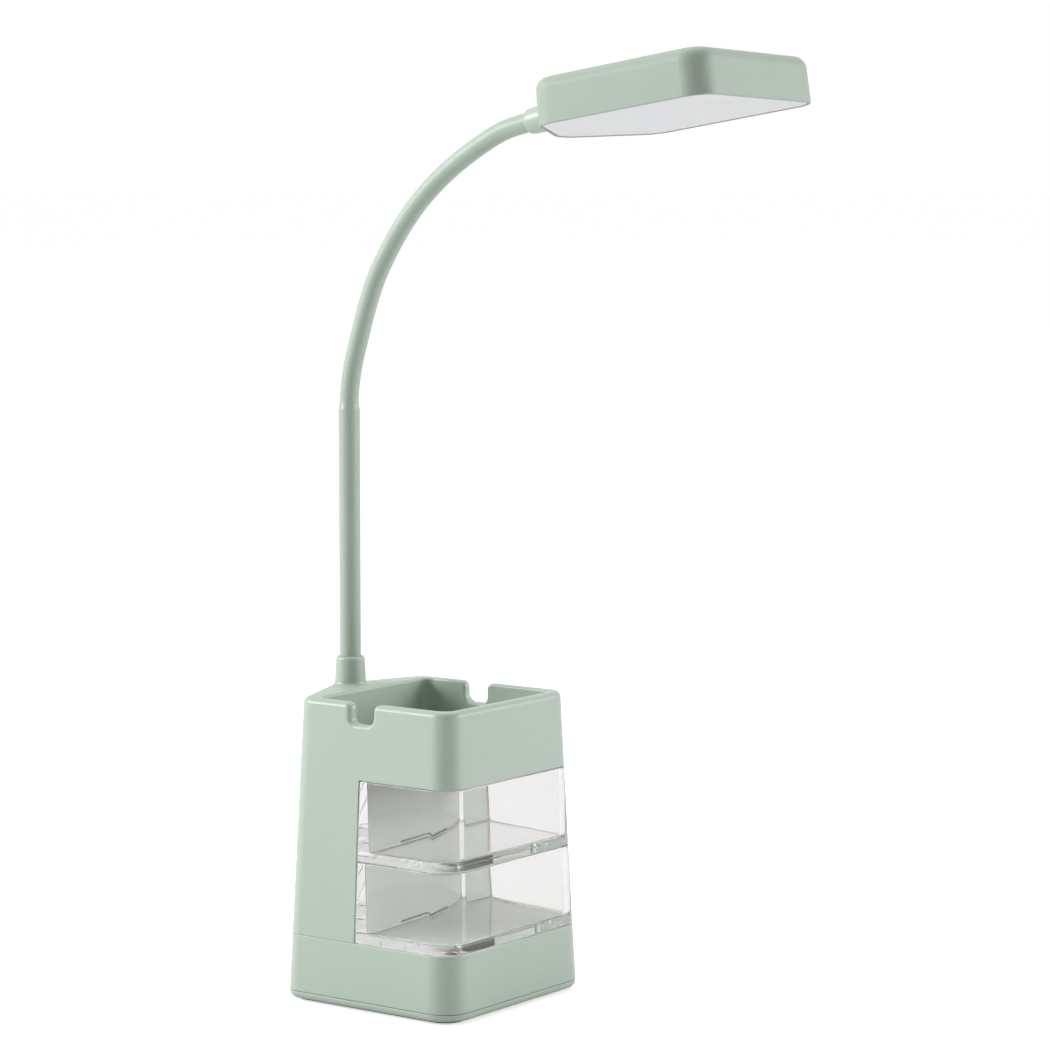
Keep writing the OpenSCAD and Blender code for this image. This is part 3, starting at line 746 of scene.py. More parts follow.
# ------------------------------------------------------------------ boss round the stem
def make_boss():
    sh = Shell()
    cy = 38.0
    nseg = 64
    edge = []                                    # how far the deck is flat in each direction
    for i in range(nseg):
        a = 2 * math.pi * i / nseg
        lim = 9.2
        # rear faces of the deck bound it
        for sx in (1, -1):
            n = np.array([sx * SG, CG])
            d = (n @ np.array([0.0, ba(RIM)])) - (n @ np.array([0.0, cy]))
            k = n @ np.array([math.cos(a), math.sin(a)])
            if k > 1e-6:
                lim = min(lim, (d - 1.05) / k)
        cya = ba(RIM) - RA / CG
        # rounded point
        px, py = math.cos(a), math.sin(a)
        bq = (cy - cya) * py
        disc = bq * bq - ((cy - cya) ** 2 - (RA - 1.0) ** 2)
        if py > 0.5 and disc > 0:
            lim = min(lim, -bq + math.sqrt(disc))
        edge.append(lim)
    edge = np.array(edge)

    def drop(x, y):
        """Height of the deck or its rounded edge at a point."""
        d = []
        for sx in (1, -1):
            n = np.array([sx * SG, CG])
            d.append(n @ np.array([0.0, ba(RIM)]) - n @ np.array([x, y]))
        cya = ba(RIM) - RA / CG
        rr_ = RA - math.hypot(x, y - cya)
        dist = min(d) if abs(math.atan2(x, y - cya)) > GAMMA else min(min(d), rr_)
        if dist >= R_RIM:
            return RIM
        q = R_RIM - dist
        return RIM - (R_RIM - math.sqrt(max(R_RIM ** 2 - q * q, 0.0)))

    def radii(z):                                # boss side, slightly tapered
        return 6.75 - (z - RIM) * (6.75 - 6.05) / 12.0

    rows = []
    fil = 1.9
    for j in range(7):                           # concave fillet at the foot
        f = j / 6
        ph = math.pi / 2 * f
        pts, nn = [], []
        for i in range(nseg):
            a = 2 * math.pi * i / nseg
            rfoot = 6.75 + fil
            r = 6.75 + fil - fil * math.sin(ph)
            z = RIM + 0.01 + fil * (1 - math.cos(ph))
            if edge[i] < rfoot:
                r = 6.7 + (r - 6.7) * (edge[i] - 6.7) / (rfoot - 6.7) if edge[i] > 6.7 else min(r, edge[i])
            x, y = r * math.cos(a), cy + r * math.sin(a)
            h = drop(x, y)
            z -= (RIM - h) * (1 - f)
            pts.append([x, y, z])
            nn.append([math.cos(a) * math.sin(ph), math.sin(a) * math.sin(ph), math.cos(ph)])
        rows.append((pts, nn))
    low = [[p[0], p[1], p[2] - 1.2] for p in rows[0][0]]
    rings = [sh.ring(low, [[0, 0, 1]] * nseg)]
    for p, n in rows:
        rings.append(sh.ring(p, n))
    top = RIM + 12.4
    er = 1.3
    for j in range(3):
        z = RIM + 2.4 + (top - er - RIM - 2.4) * j / 2
        r = radii(z)
        rings.append(sh.ring([[r * math.cos(2 * math.pi * i / nseg), cy + r * math.sin(2 * math.pi * i / nseg), z] for i in range(nseg)],
                             [[math.cos(2 * math.pi * i / nseg), math.sin(2 * math.pi * i / nseg), 0.058] for i in range(nseg)]))
    rt = radii(top - er)
    for ph in arc(5)[1:]:
        r = rt - er + er * math.cos(ph)
        z = top - er + er * math.sin(ph)
        rings.append(sh.ring([[r * math.cos(2 * math.pi * i / nseg), cy + r * math.sin(2 * math.pi * i / nseg), z] for i in range(nseg)],
                             [[math.cos(ph) * math.cos(2 * math.pi * i / nseg), math.cos(ph) * math.sin(2 * math.pi * i / nseg), math.sin(ph)] for i in range(nseg)]))
    for r_, dz, nz in ((4.72, 0.0, 1.0), (4.56, -0.25, 0.3), (4.56, -1.5, 0.0), (4.56, -7.0, 0.0), (4.56, -13.2, 0.0)):
        rings.append(sh.ring([[r_ * math.cos(2 * math.pi * i / nseg), cy + r_ * math.sin(2 * math.pi * i / nseg), top + dz] for i in range(nseg)],
                             [[-(1 - nz) * math.cos(2 * math.pi * i / nseg), -(1 - nz) * math.sin(2 * math.pi * i / nseg), max(nz, 0.001)] for i in range(nseg)]))
    for a, b_ in zip(rings[:-1], rings[1:]):
        sh.strip(a, b_)
    sh.strip(rings[-1], rings[0])
    return sh.obj("upper_housing_boss")


piece(make_boss(), "sage_plastic", "base", ["upper_housing"])


# ------------------------------------------------------------------ lower base
def ring_shell(levels, ring, cap0=True, cap1=True):
    """levels: (z, inset, normal out, normal up) per ring."""
    sh = Shell()
    rings = []
    for z, t, no, nu in levels:
        pts = [s.at(z, t) for s in ring]
        nn = []
        for s in ring:
            n = s.normal(60)
            h = unit([n[0], n[1], 0])
            if abs(nu) < 1e-9:
                nn.append(n * (1 if no > 0 else -1))
            else:
                nn.append(h * no + np.array([0, 0, nu]))
        rings.append(sh.ring(pts, nn))
    for a, b_ in zip(rings[:-1], rings[1:]):
        sh.strip(a, b_)
    if cap0:
        sh.face(rings[0][::-1])
    if cap1:
        sh.face(rings[-1])
    return sh


def make_base_shell():
    r, a, l, f = base_stations([-34 + 56 * i / 10 for i in range(11)], nf=10, narc=16, nrear=8, nap=14)
    ring = r + a + l + f
    lv = []
    e = 0.3
    for ph in arc(3)[::-1]:
        lv.append((4.42 + e * (1 - math.sin(ph)), e * (1 - math.cos(ph)), math.cos(ph), -math.sin(ph)))
    e = 0.4
    for ph in arc(3):
        lv.append((28.1 - e * (1 - math.sin(ph)), e * (1 - math.cos(ph)), math.cos(ph), math.sin(ph)))
    # lowest ring first: its normal points down
    lv2 = []
    e = 0.3
    for i in range(4):
        ph = math.pi / 2 * (1 - i / 3)
        lv2.append((4.42 + e - e * math.sin(ph), e - e * math.cos(ph), math.cos(ph), -math.sin(ph)))
    e = 0.4
    for i in range(4):
        ph = math.pi / 2 * i / 3
        lv2.append((28.1 - e + e * math.sin(ph), e - e * math.cos(ph), math.cos(ph), math.sin(ph)))
    sh = ring_shell(lv2, ring)
    o = sh.obj("base_shell_skin")
    st_r, st_a, st_l, st_f = base_stations([-30, 0, 20], nf=2, narc=8, nrear=1, nap=6)
    rg = st_r + st_a + st_l + st_f
    s2 = Shell()
    lo = s2.ring([q.at(0.0, 2.2) for q in rg], [q.normal() for q in rg])
    hi = s2.ring([q.at(25.9, 2.2) for q in rg], [q.normal() for q in rg])
    s2.strip(lo, hi); s2.face(lo[::-1]); s2.face(hi)
    tools = [s2.obj("tool")]
    # openings in the right rear face, flared at the surface
    zc = 14.2
    ox, oy = 25 * CG, ba(zc) - 25 * SG

    def face_tool(outline, flare):
        s3 = Shell()
        rows = [(-6.0, 0.0), (-0.55, 0.0), (-0.05 + 0.0, flare), (1.5, flare + 1.2)]
        rr2 = []
        for depth, grow in rows:
            pts = []
            for u, v in outline(grow):
                # the rear face leans, so the depth is counted from the surface at each height
                lean = -(0.0286 * CG + 0.05 * SG) * v
                d = depth + lean
                pts.append([ox + u * CG + d * SG, oy - u * SG + d * CG, zc + v])
            rr2.append(s3.ring(pts, [[0, 0, 1]] * len(pts)))
        for p, q in zip(rr2[:-1], rr2[1:]):
            s3.strip(p, q)
        s3.face(rr2[0][::-1]); s3.face(rr2[-1])
        return s3.obj("tool3")

    def slot(grow):
        r0 = 1.9 + grow
        pts = []
        for i in range(17):
            a0 = -math.pi / 2 + math.pi * i / 16
            pts.append((-6 + 3.2 + r0 * math.cos(a0), r0 * math.sin(a0)))
        for i in range(17):
            a0 = math.pi / 2 + math.pi * i / 16
            pts.append((-6 - 3.2 + r0 * math.cos(a0), r0 * math.sin(a0)))
        return pts

    def disc(grow):
        return [(7 + (3.75 + grow) * math.cos(2 * math.pi * i / 48), (3.75 + grow) * math.sin(2 * math.pi * i / 48)) for i in range(48)]

    tools += [face_tool(slot, 0.4), face_tool(disc, 0.3)]
    return cut(o, tools)


piece(make_base_shell(), "sage_plastic", "base", replaces=["base_shell"])


def make_bottom_cover():
    r, a, l, f = base_stations([-34 + 56 * i / 10 for i in range(11)], nf=10, narc=16, nrear=8, nap=14)
    ring = r + a + l + f
    lv = [(3.25, 2.3, 0, 1.0), (4.12, 2.2, -1, 0.0), (4.27, 2.05, -0.7, 0.7), (4.27, 0.3, 0, 1)]
    for i in range(1, 4):
        ph = math.pi / 2 * (1 - i / 3)
        lv.append((4.27 - 0.3 + 0.3 * math.sin(ph), 0.3 - 0.3 * math.cos(ph), math.cos(ph), math.sin(ph)))
    rb = 2.7
    for i in range(9):
        ph = math.pi / 2 * i / 8
        lv.append((1.0 + rb - rb * math.sin(ph), rb - rb * math.cos(ph), math.cos(ph), -math.sin(ph)))
    lv += [(1.0, 4.5, 0, -1), (1.12, 4.68, -0.5, -0.8), (1.6, 4.7, 0, -1)]
    sh = ring_shell([(z, t + 0.04, no, nu) for z, t, no, nu in lv], ring)
    return sh.obj("bottom_cover_skin")


piece(make_bottom_cover(), "sage_plastic", "base", replaces=["bottom_cover"])


# ------------------------------------------------------------------ clear drawers
def make_drawer(name, z0, z1):
    back, fl, wallt = -1.2, 3.0, 2.8
    nf, narc, ns, nbk = 12, 14, 8, 14
    ix, iy = bw(z1) - wallt, bf(z1) + wallt

    def outer(z, t):
        pts, nn = [], []
        w, F, rf = bw(z), bf(z), bfr(z)
        for i in range(1, nf):
            pts.append([(-1 + 2 * i / nf) * (w - rf), F + t, z]); nn.append(N_FRONT)
        for i in range(narc + 1):
            s = Station("fc", -90 + 90 * i / narc, 1)
            pts.append(s.at(z, t)); nn.append(s.normal(z))
        y0 = F + rf
        rb = 0.7
        for i in range(1, ns):
            pts.append([w - t, y0 + (back - rb - y0) * i / ns, z]); nn.append(N_SIDE)
        for i in range(7):
            a = math.pi / 2 * i / 6
            pts.append([w - rb + (rb - t) * math.cos(a), back - rb + (rb - t) * math.sin(a), z])
            nn.append([math.cos(a), math.sin(a), 0.05 * math.cos(a)])
        for i in range(1, nbk):
            pts.append([(w - rb) * (1 - 2 * i / nbk), back - t, z]); nn.append([0, 1, 0])
        for i in range(7):
            a = math.pi / 2 + math.pi / 2 * i / 6
            pts.append([-(w - rb) + (rb - t) * math.cos(a), back - rb + (rb - t) * math.sin(a), z])
            nn.append([math.cos(a), math.sin(a), 0.05 * abs(math.cos(a))])
        for i in range(1, ns):
            pts.append([-(w - t), back - rb + (y0 - back + rb) * i / ns, z]); nn.append(N_SIDE * [-1, 1, 1])
        for i in range(narc + 1):
            s = Station("fc", 90 * i / narc - 90, -1)
            s = Station("fc", -90 * i / narc, -1)
            pts.append(s.at(z, t)); nn.append(s.normal(z))
        return np.array(pts), np.array(nn)

    def inner(z, t, r=bfr(z1) - wallt):
        pts, nn = [], []
        x0, f0 = ix - t, iy + t
        by = back - 2.3 - 1.6 * (z1 - z) / (z1 - z0) - t
        r = max(r - t, 0.8)
        rk = max(1.2 - t * 0.25, 0.6)
        for i in range(1, nf):
            pts.append([(-1 + 2 * i / nf) * (x0 - r), f0, z]); nn.append([0, 1, 0])
        for i in range(narc + 1):
            a = math.radians(-90 + 90 * i / narc)
            pts.append([x0 - r + r * math.cos(a), f0 + r + r * math.sin(a), z]); nn.append([-math.cos(a), -math.sin(a), 0])
        for i in range(1, ns):
            pts.append([x0, f0 + r + (by - rk - f0 - r) * i / ns, z]); nn.append([-1, 0, 0])
        for i in range(7):
            a = math.pi / 2 * i / 6
            pts.append([x0 - rk + rk * math.cos(a), by - rk + rk * math.sin(a), z]); nn.append([-math.cos(a), -math.sin(a), 0])
        for i in range(1, nbk):
            pts.append([(x0 - rk) * (1 - 2 * i / nbk), by, z]); nn.append([0, -1, 0.05])
        for i in range(7):
            a = math.pi / 2 + math.pi / 2 * i / 6
            pts.append([-(x0 - rk) + rk * math.cos(a), by - rk + rk * math.sin(a), z]); nn.append([-math.cos(a), -math.sin(a), 0])
        for i in range(1, ns):
            pts.append([-x0, by - rk - (by - rk - f0 - r) * i / ns, z]); nn.append([1, 0, 0])
        for i in range(narc + 1):
            a = math.radians(180 + 90 * i / narc)
            pts.append([-(x0 - r) + r * math.cos(a), f0 + r + r * math.sin(a), z]); nn.append([-math.cos(a), -math.sin(a), 0])
        return np.array(pts), np.array(nn)

    sh = Shell()
    rings = []

    def up(n, no, nu):
        h = unit(np.array(n) * [1, 1, 0])
        return h * no + np.array([0, 0, nu])

    e0, e1 = 0.55, 0.5
    for i in range(5):                              # foot
        ph = math.pi / 2 * (1 - i / 4)
        p, n = outer(z0 + e0 - e0 * math.sin(ph), e0 - e0 * math.cos(ph))
        rings.append(sh.ring(p, up(n, math.cos(ph), -math.sin(ph)) if i < 4 else n))
    for i in range(5):                              # rim outside
        ph = math.pi / 2 * i / 4
        p, n = outer(z1 - e1 + e1 * math.sin(ph), e1 - e1 * math.cos(ph))
        rings.append(sh.ring(p, up(n, math.cos(ph), math.sin(ph)) if i else n))
    for i in range(5):                              # rim inside
        ph = math.pi / 2 * (1 - i / 4)
        p, n = inner(z1 - e1 + e1 * math.sin(ph), -(e1 - e1 * math.cos(ph)))
        rings.append(sh.ring(p, up(n, math.cos(ph), math.sin(ph))))
    rf2 = 1.6
    for i in range(7):                              # floor fillet
        ph = math.pi / 2 * i / 6
        p, n = inner(z0 + fl + rf2 - rf2 * math.sin(ph), rf2 - rf2 * math.cos(ph))
        rings.append(sh.ring(p, up(n, math.cos(ph), math.sin(ph))))
    for a, b_ in zip(rings[:-1], rings[1:]):
        sh.strip(a, b_)
    sh.face(rings[0][::-1])
    sh.face(rings[-1])
    return sh.obj(name)


def rounded_box(name, x0, x1, y0, y1, z0, z1, r=0.4, n=3):
    """Box with rounded edges, as rings of a rounded rectangle from bottom to top."""
    sh = Shell()
    rings = []

    def rect(t, z, no, nu):
        pts, nn = [], []
        rr_ = max(r - t, 0.02) if t < r else 0.02
        for (cx, cy, a0) in ((x1 - r, y0 + r, -90), (x1 - r, y1 - r, 0), (x0 + r, y1 - r, 90), (x0 + r, y0 + r, 180)):
            for i in range(n + 1):
                a = math.radians(a0 + 90 * i / n)
                pts.append([cx + (r - t) * math.cos(a), cy + (r - t) * math.sin(a), z])
                nn.append([math.cos(a) * no, math.sin(a) * no, nu])
        return sh.ring(pts, nn)

    for i in range(n + 1):
        ph = math.pi / 2 * (1 - i / n)
        rings.append(rect((r - r * math.cos(ph)) * 0.98, z0 + r - r * math.sin(ph), math.cos(ph), -math.sin(ph)))
    for i in range(n + 1):
        ph = math.pi / 2 * i / n
        rings.append(rect((r - r * math.cos(ph)) * 0.98, z1 - r + r * math.sin(ph), math.cos(ph), math.sin(ph)))
    for a, b_ in zip(rings[:-1], rings[1:]):
        sh.strip(a, b_)
    sh.face(rings[0][::-1])
    sh.face(rings[-1])
    return sh.obj(name)


for nm, z0, z1 in (("drawer_upper", 62.2, 95.2), ("drawer_lower", 28.4, 61.8)):
    piece(make_drawer(nm + "_tray", z0, z1), "clear_plastic", nm, [nm])
    piece(rounded_box(nm + "_tongue", -15, 15, -1.15, 37.9, z0 + 0.2, z0 + 3.0), "clear_plastic", nm, [nm])
    for sx, lab in ((-1, "left"), (1, "right")):
        xa, xb = (15.05, 17.0) if sx > 0 else (-17.0, -15.05)
        piece(rounded_box(nm + "_stop_" + lab, xa, xb, 35, 37.9, z0 + 0.2, z0 + 3.0, 0.3), "clear_plastic", nm, [nm])


# ------------------------------------------------------------------ stem and gooseneck
def neck_points():
    a = [8, 16, 18, 22, 30, 35, 41, 48, 54, 59, 64, 75]
    p = [np.array([0, 38.0, 248.0])]
    for t in a:
        r = math.radians(t)
        p.append(p[-1] + 13.25 * np.array([0, -math.sin(r), math.cos(r)]))
    return p, a


NP_, NA_ = neck_points()
COLLAR_A = math.radians(78.5)
CD = np.array([0, -math.sin(COLLAR_A), math.cos(COLLAR_A)])


def lathe(name, origin, axis, profile, nseg=64):
    """profile: (s along the axis, radius, normal radial, normal axial); closed if it starts and ends at radius 0, or as a ring."""
    axis = unit(axis)
    u = unit(np.cross(axis, [0, 0, 1.0] if abs(axis[2]) < 0.9 else [1.0, 0, 0]))
    v = np.cross(axis, u)
    sh = Shell()
    rings = []
    for s, r, nr, na in profile:
        pts, nn = [], []
        for i in range(nseg):
            a = 2 * math.pi * i / nseg
            d = math.cos(a) * u + math.sin(a) * v
            pts.append(np.asarray(origin) + s * axis + r * d)
            nn.append(nr * d + na * axis)
        rings.append(sh.ring(pts, nn))
    for a, b_ in zip(rings[:-1], rings[1:]):
        sh.strip(a, b_)
    sh.strip(rings[-1], rings[0])
    return sh.obj(name)


stem_prof = [(112.3, 4.25, 0.5, -0.8), (112.6, 4.5, 1, 0), (150, 4.5, 1, 0), (200, 4.5, 1, 0), (243.9, 4.5, 1, 0),
             (244.4, 4.46, 1, 0.15), (244.8, 4.36, 0.95, 0.3), (246.2, 4.14, 0.98, 0.15), (246.9, 4.06, 0.9, 0.4), (247.15, 3.9, 0.3, 0.95),
             (247.2, 3.0, 0, 1), (246.9, 2.9, -1, 0.2), (112.6, 2.9, -1, 0), (112.3, 3.1, -0.4, -0.9)]
piece(lathe("stem_tube_skin", [0, 38.0, 0], [0, 0, 1], stem_prof), "sage_coated_metal", "base", replaces=["stem_tube"])


def centreline():
    """Smooth curve through the links' meeting points, with a straight run at each end."""
    ext0 = [np.array([0, 38.0, 248.0 - 13.25 * k]) for k in (2, 1)]
    ext1 = [NP_[-1] + CD * 13.25 * k for k in (1, 2)]
    return ext0 + NP_ + ext1


CL = centreline()


def cl_at(i, t):
    """Point and direction at share t between link ends i and i + 1 (0 is the stem's top)."""
    p0, p1, p2, p3 = CL[i + 1], CL[i + 2], CL[i + 3], CL[i + 4] if i + 4 < len(CL) else CL[-1] + CD * 13.25
    t2, t3 = t * t, t * t * t
    pos = 0.5 * ((2 * p1) + (-p0 + p2) * t + (2 * p0 - 5 * p1 + 4 * p2 - p3) * t2 + (-p0 + 3 * p1 - 3 * p2 + p3) * t3)
    d = 0.5 * ((-p0 + p2) + 2 * (2 * p0 - 5 * p1 + 4 * p2 - p3) * t + 3 * (-p0 + 3 * p1 - 3 * p2 + p3) * t2)
    return pos, unit(d)


BODIES = ["base"] + ["arm_link_%02d" % k for k in range(1, 13)] + ["head"]
RN = 3.98


def sleeve(k):
    """Sleeve from the middle of link k to the middle of link k + 1, over joint k."""
    params = []
    n = 9
    if k == 0:
        params += [(-1, 0.80 + 0.2 * i / 2) for i in range(2)]
    else:
        params += [(k - 1, 0.5 + 0.5 * i / n) for i in range(n)]
    if k == 12:
        params += [(12, 0.30 * i / 4) for i in range(5)]
    else:
        params += [(k, 0.5 * i / n) for i in range(n + 1)]
    nseg = 40
    sh = Shell()
    rings = []
    for (i, t) in params:
        if i < 0:
            c, d = CL[1] + (CL[2] - CL[1]) * t, np.array([0, 0, 1.0])
        else:
            c, d = cl_at(i, t)
        u = np.array([1.0, 0, 0])
        v = unit(np.cross(d, u))
        rings.append((c, d, u, v))
    made = []
    for c, d, u, v in rings:
        pts, nn = [], []
        for j in range(nseg):
            a = 2 * math.pi * j / nseg
            w = math.cos(a) * u + math.sin(a) * v
            pts.append(c + RN * w); nn.append(w)
        made.append(sh.ring(pts, nn))
    for a, b_ in zip(made[:-1], made[1:]):
        sh.strip(a, b_)
    inner = []
    for c, d, u, v in rings[::-1]:
        pts, nn = [], []
        for j in range(nseg):
            a = 2 * math.pi * j / nseg
            w = math.cos(a) * u + math.sin(a) * v
            pts.append(c + 1.9 * w); nn.append(-w)
        inner.append(sh.ring(pts, nn))
    sh.strip(made[-1], inner[0])
    for a, b_ in zip(inner[:-1], inner[1:]):
        sh.strip(a, b_)
    sh.strip(inner[-1], made[0])
    return sh.obj("neck_sleeve_%02d" % (k + 1))


BALL, SEAT, CLEAR = 3.97, 3.99, 0.42


def sleeve_ring(sh, c, d, r, nr=1.0, na=0.0, nseg=40):
    u = np.array([1.0, 0, 0])
    v = unit(np.cross(d, u))
    ws = [math.cos(2 * math.pi * j / nseg) * u + math.sin(2 * math.pi * j / nseg) * v for j in range(nseg)]
    return sh.ring([c + r * w for w in ws], [nr * w + na * d for w in ws])


def sleeve_lower(k):
    """Sleeve from the middle of link k to joint k, ending in a ball about the joint."""
    sh = Shell()
    rings = []
    for i in range(10):
        c, d = cl_at(k - 1, 0.5 + (0.5 - CLEAR / 13.25) * i / 9)
        rings.append(sleeve_ring(sh, c, d, RN))
    c, d = cl_at(k, 0.0)
    for q in (-CLEAR + 0.01, 0.0, CLEAR):
        rings.append(sleeve_ring(sh, c + q * d, d, math.sqrt(BALL ** 2 - q ** 2)))
    a0, a1 = math.asin(CLEAR / BALL), math.asin(1.3 / BALL) if k == 12 else math.pi / 2 - 0.02
    for i in range(1, 9):
        a = a0 + (a1 - a0) * i / 8
        rings.append(sleeve_ring(sh, c + BALL * math.sin(a) * d, d, BALL * math.cos(a), math.cos(a), math.sin(a)))
    if k == 12:                                     # kept short of the ferrule inside the collar
        rings.append(sleeve_ring(sh, c + 1.2 * d, d, 3.3, 0.0, 1.0))
    for a, b_ in zip(rings[:-1], rings[1:]):
        sh.strip(a, b_)
    sh.face(rings[0][::-1])
    sh.face(rings[-1])
    return sh.obj("neck_sleeve_%02d_lower" % (k + 1))


def sleeve_upper(k):
    """Sleeve from joint k to the middle of link k + 1, with a seat for the ball."""
    sh = Shell()
    rings = []
    c, d = cl_at(k, 0.0)
    lip = CLEAR + 0.02
    a0, a1 = math.asin(lip / SEAT), math.pi / 2 - 0.02
    for i in range(9):
        a = a1 + (a0 - a1) * i / 8
        rs = SEAT if i == 8 else SEAT + 0.11
        rings.append(sleeve_ring(sh, c + rs * math.sin(a) * d, d, rs * math.cos(a), -math.cos(a), -math.sin(a)))
    t0, t1 = lip / 13.25, 0.36 if k == 12 else 0.5
    for i in range(10):
        c, d = cl_at(k, t0 + (t1 - t0) * i / 9)
        rings.append(sleeve_ring(sh, c, d, RN))
    for a, b_ in zip(rings[:-1], rings[1:]):
        sh.strip(a, b_)
    sh.face(rings[0][::-1])
    sh.face(rings[-1])
    return sh.obj("neck_sleeve_%02d_upper" % (k + 1))


for k in range(13):
    if k % 2 == 0 and k > 0:
        piece(sleeve_lower(k), "sage_sleeve", BODIES[k])
        piece(sleeve_upper(k), "sage_sleeve", BODIES[k + 1], ["arm_link_%02d" % (k + 1)] if k < 12 else ())
        continue
    o = sleeve(k)
    assign(o, "sage_sleeve")
    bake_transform(o)
    if k < 12:
        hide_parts("arm_link_%02d" % (k + 1))

collar_prof = [(0.65, 4.05, -0.6, -0.8), (0.62, 4.5, 0.0, -1), (0.8, 4.85, 0.7, -0.7), (1.3, 5.1, 0.95, -0.25), (3.0, 5.3, 1, -0.08),
               (7.0, 5.5, 1, -0.04), (12.0, 5.58, 1, 0), (18.6, 5.6, 1, 0), (18.9, 5.4, 0.5, 0.8), (18.9, 3.6, 0, 1), (1.5, 3.6, -1, 0)]
piece(lathe("head_collar_skin", NP_[-1], CD, collar_prof), "sage_plastic", "head", replaces=["head_collar"])

# ------------------------------------------------------------------ head
HW, HL, HT, HR, PY = 83.0, 78.5, 19.0, 10.5, 18.1
HV = math.atan2(PY, HW / 2 - 4.7)
HN = (math.sin(HV), math.cos(HV))
HC = HN[0] * HW / 2
PITCH, ROLL = math.radians(-8.7), math.radians(2.0)
RX = np.array([[1, 0, 0], [0, math.cos(PITCH), -math.sin(PITCH)], [0, math.sin(PITCH), math.cos(PITCH)]])
RY = np.array([[math.cos(ROLL), 0, math.sin(ROLL)], [0, 1, 0], [-math.sin(ROLL), 0, math.cos(ROLL)]])
HROT = RX @ RY
HORG = NP_[-1] + 15.5 * CD
HOFF = HORG + HROT @ np.array([0, -PY, -HT / 2])
HTR = (HROT, HOFF)

_x1 = HW / 2 - HR
_x2 = (HC - HR - HN[1] * (PY - HR)) / HN[0]
HCEN = [(_x1, -HL + HR), (_x1, (HC - HR - HN[0] * _x1) / HN[1]), (_x2, PY - HR),
        (-_x2, PY - HR), (-_x1, (HC - HR - HN[0] * _x1) / HN[1]), (-_x1, -HL + HR)]


def head_ring(t, z, n_line=8, n90=16):
    """Points and outward plan normals of the head's outline pulled in by t."""
    pts, nn = [], []
    k = len(HCEN)
    for i in range(k):
        p, c, q = np.array(HCEN[i - 1]), np.array(HCEN[i]), np.array(HCEN[(i + 1) % k])
        a0 = math.atan2(c[1] - p[1], c[0] - p[0]) - math.pi / 2
        a1 = math.atan2(q[1] - c[1], q[0] - c[0]) - math.pi / 2
        while a1 < a0:
            a1 += 2 * math.pi
        m_ = max(4, int(round(n90 * (a1 - a0) / (math.pi / 2))))
        for j in range(m_ + 1):
            a = a0 + (a1 - a0) * j / m_
            pts.append([c[0] + (HR - t) * math.cos(a), c[1] + (HR - t) * math.sin(a), z])
            nn.append([math.cos(a), math.sin(a), 0])
        d = np.array([math.cos(a1), math.sin(a1)])
        s, e = c + (HR - t) * d, q + (HR - t) * d
        for j in range(1, n_line):
            w = s + (e - s) * j / n_line
            pts.append([w[0], w[1], z]); nn.append([d[0], d[1], 0])
    return np.array(pts), np.array(nn)


def head_levels(levels, name):
    sh = Shell()
    rings = []
    for z, t, no, nu in levels:
        p, n = head_ring(t, z)
        rings.append(sh.ring(p, n * no + np.array([0, 0, nu])))
    for a, b_ in zip(rings[:-1], rings[1:]):
        sh.strip(a, b_)
    sh.face(rings[0][::-1])
    sh.face(rings[-1])
    return sh.obj(name, HTR)


DR = 0.0192


def head_shell():
    lv = [(16.6, 4.6, 0, -1), (15.6, 3.2, -0.6, -0.8), (13.2, 2.35, -1, 0), (2.85, 2.15, -1, 0), (2.7, 2.05, -0.5, -0.8), (2.7, 1.1, 0, -1),
          (2.55, 1.02, -1, 0), (0.3, 1.0, -1, 0), (0.1, 0.94, -0.7, -0.7), (0.02, 0.82, 0, -1), (0.0, 0.62, 0, -1)]
    e = 0.5
    for i in range(1, 5):
        ph = math.pi / 2 * (1 - i / 4)
        lv.append((e - e * math.sin(ph), e - e * math.cos(ph) + 0.0, math.cos(ph), -math.sin(ph)))
    rt = 5.2
    zt = HT - rt
    lv.append((zt, DR * zt, 1, DR))
    for i in range(1, 11):
        ph = math.pi / 2 * i / 10
        lv.append((zt + rt * math.sin(ph), DR * zt + rt - rt * math.cos(ph), math.cos(ph), math.sin(ph)))
    return head_levels(lv, "head_shell_skin")


hs = head_shell()


def collar_hole_plain():
    u = np.array([1.0, 0, 0])
    v = unit(np.cross(CD, u))
    s3 = Shell()
    rr2 = []
    for s, r in ((8.0, 5.68), (24.0, 5.68)):
        pts = [NP_[-1] + s * CD + r * (math.cos(2 * math.pi * i / 64) * u + math.sin(2 * math.pi * i / 64) * v) for i in range(64)]
        rr2.append(s3.ring(pts, [[0, 0, 1]] * 64))
    s3.strip(rr2[0], rr2[1])
    s3.face(rr2[0][::-1]); s3.face(rr2[-1])
    return s3.obj("tool4")


hs = cut(hs, [collar_hole_plain()])
# the head shell takes the darker copy of the sage: painted shade on the head
piece(hs, "sage_head_painted_shade", "head", ["head_shell"])


def diffuser():
    lv = [(2.55, 1.6, 0, 1), (2.5, 1.35, 0.7, 0.7)]
    e = 0.35
    for i in range(5):
        ph = math.pi / 2 * i / 4
        lv.append((0.3 + e - e * math.sin(ph), 1.28 + e - e * math.cos(ph), math.cos(ph), -math.sin(ph)))
    return head_levels(lv, "diffuser_panel")


piece(diffuser(), "diffuser_white", "head", replaces=["diffuser"])

# ------------------------------------------------------------------ stage, light, camera
CAM_DIR = Vector((-0.787, -0.617, 0.0)).normalized()       # from the lamp towards the camera
CAM_RIGHT = Vector((0.617, -0.787, 0.0)).normalized()

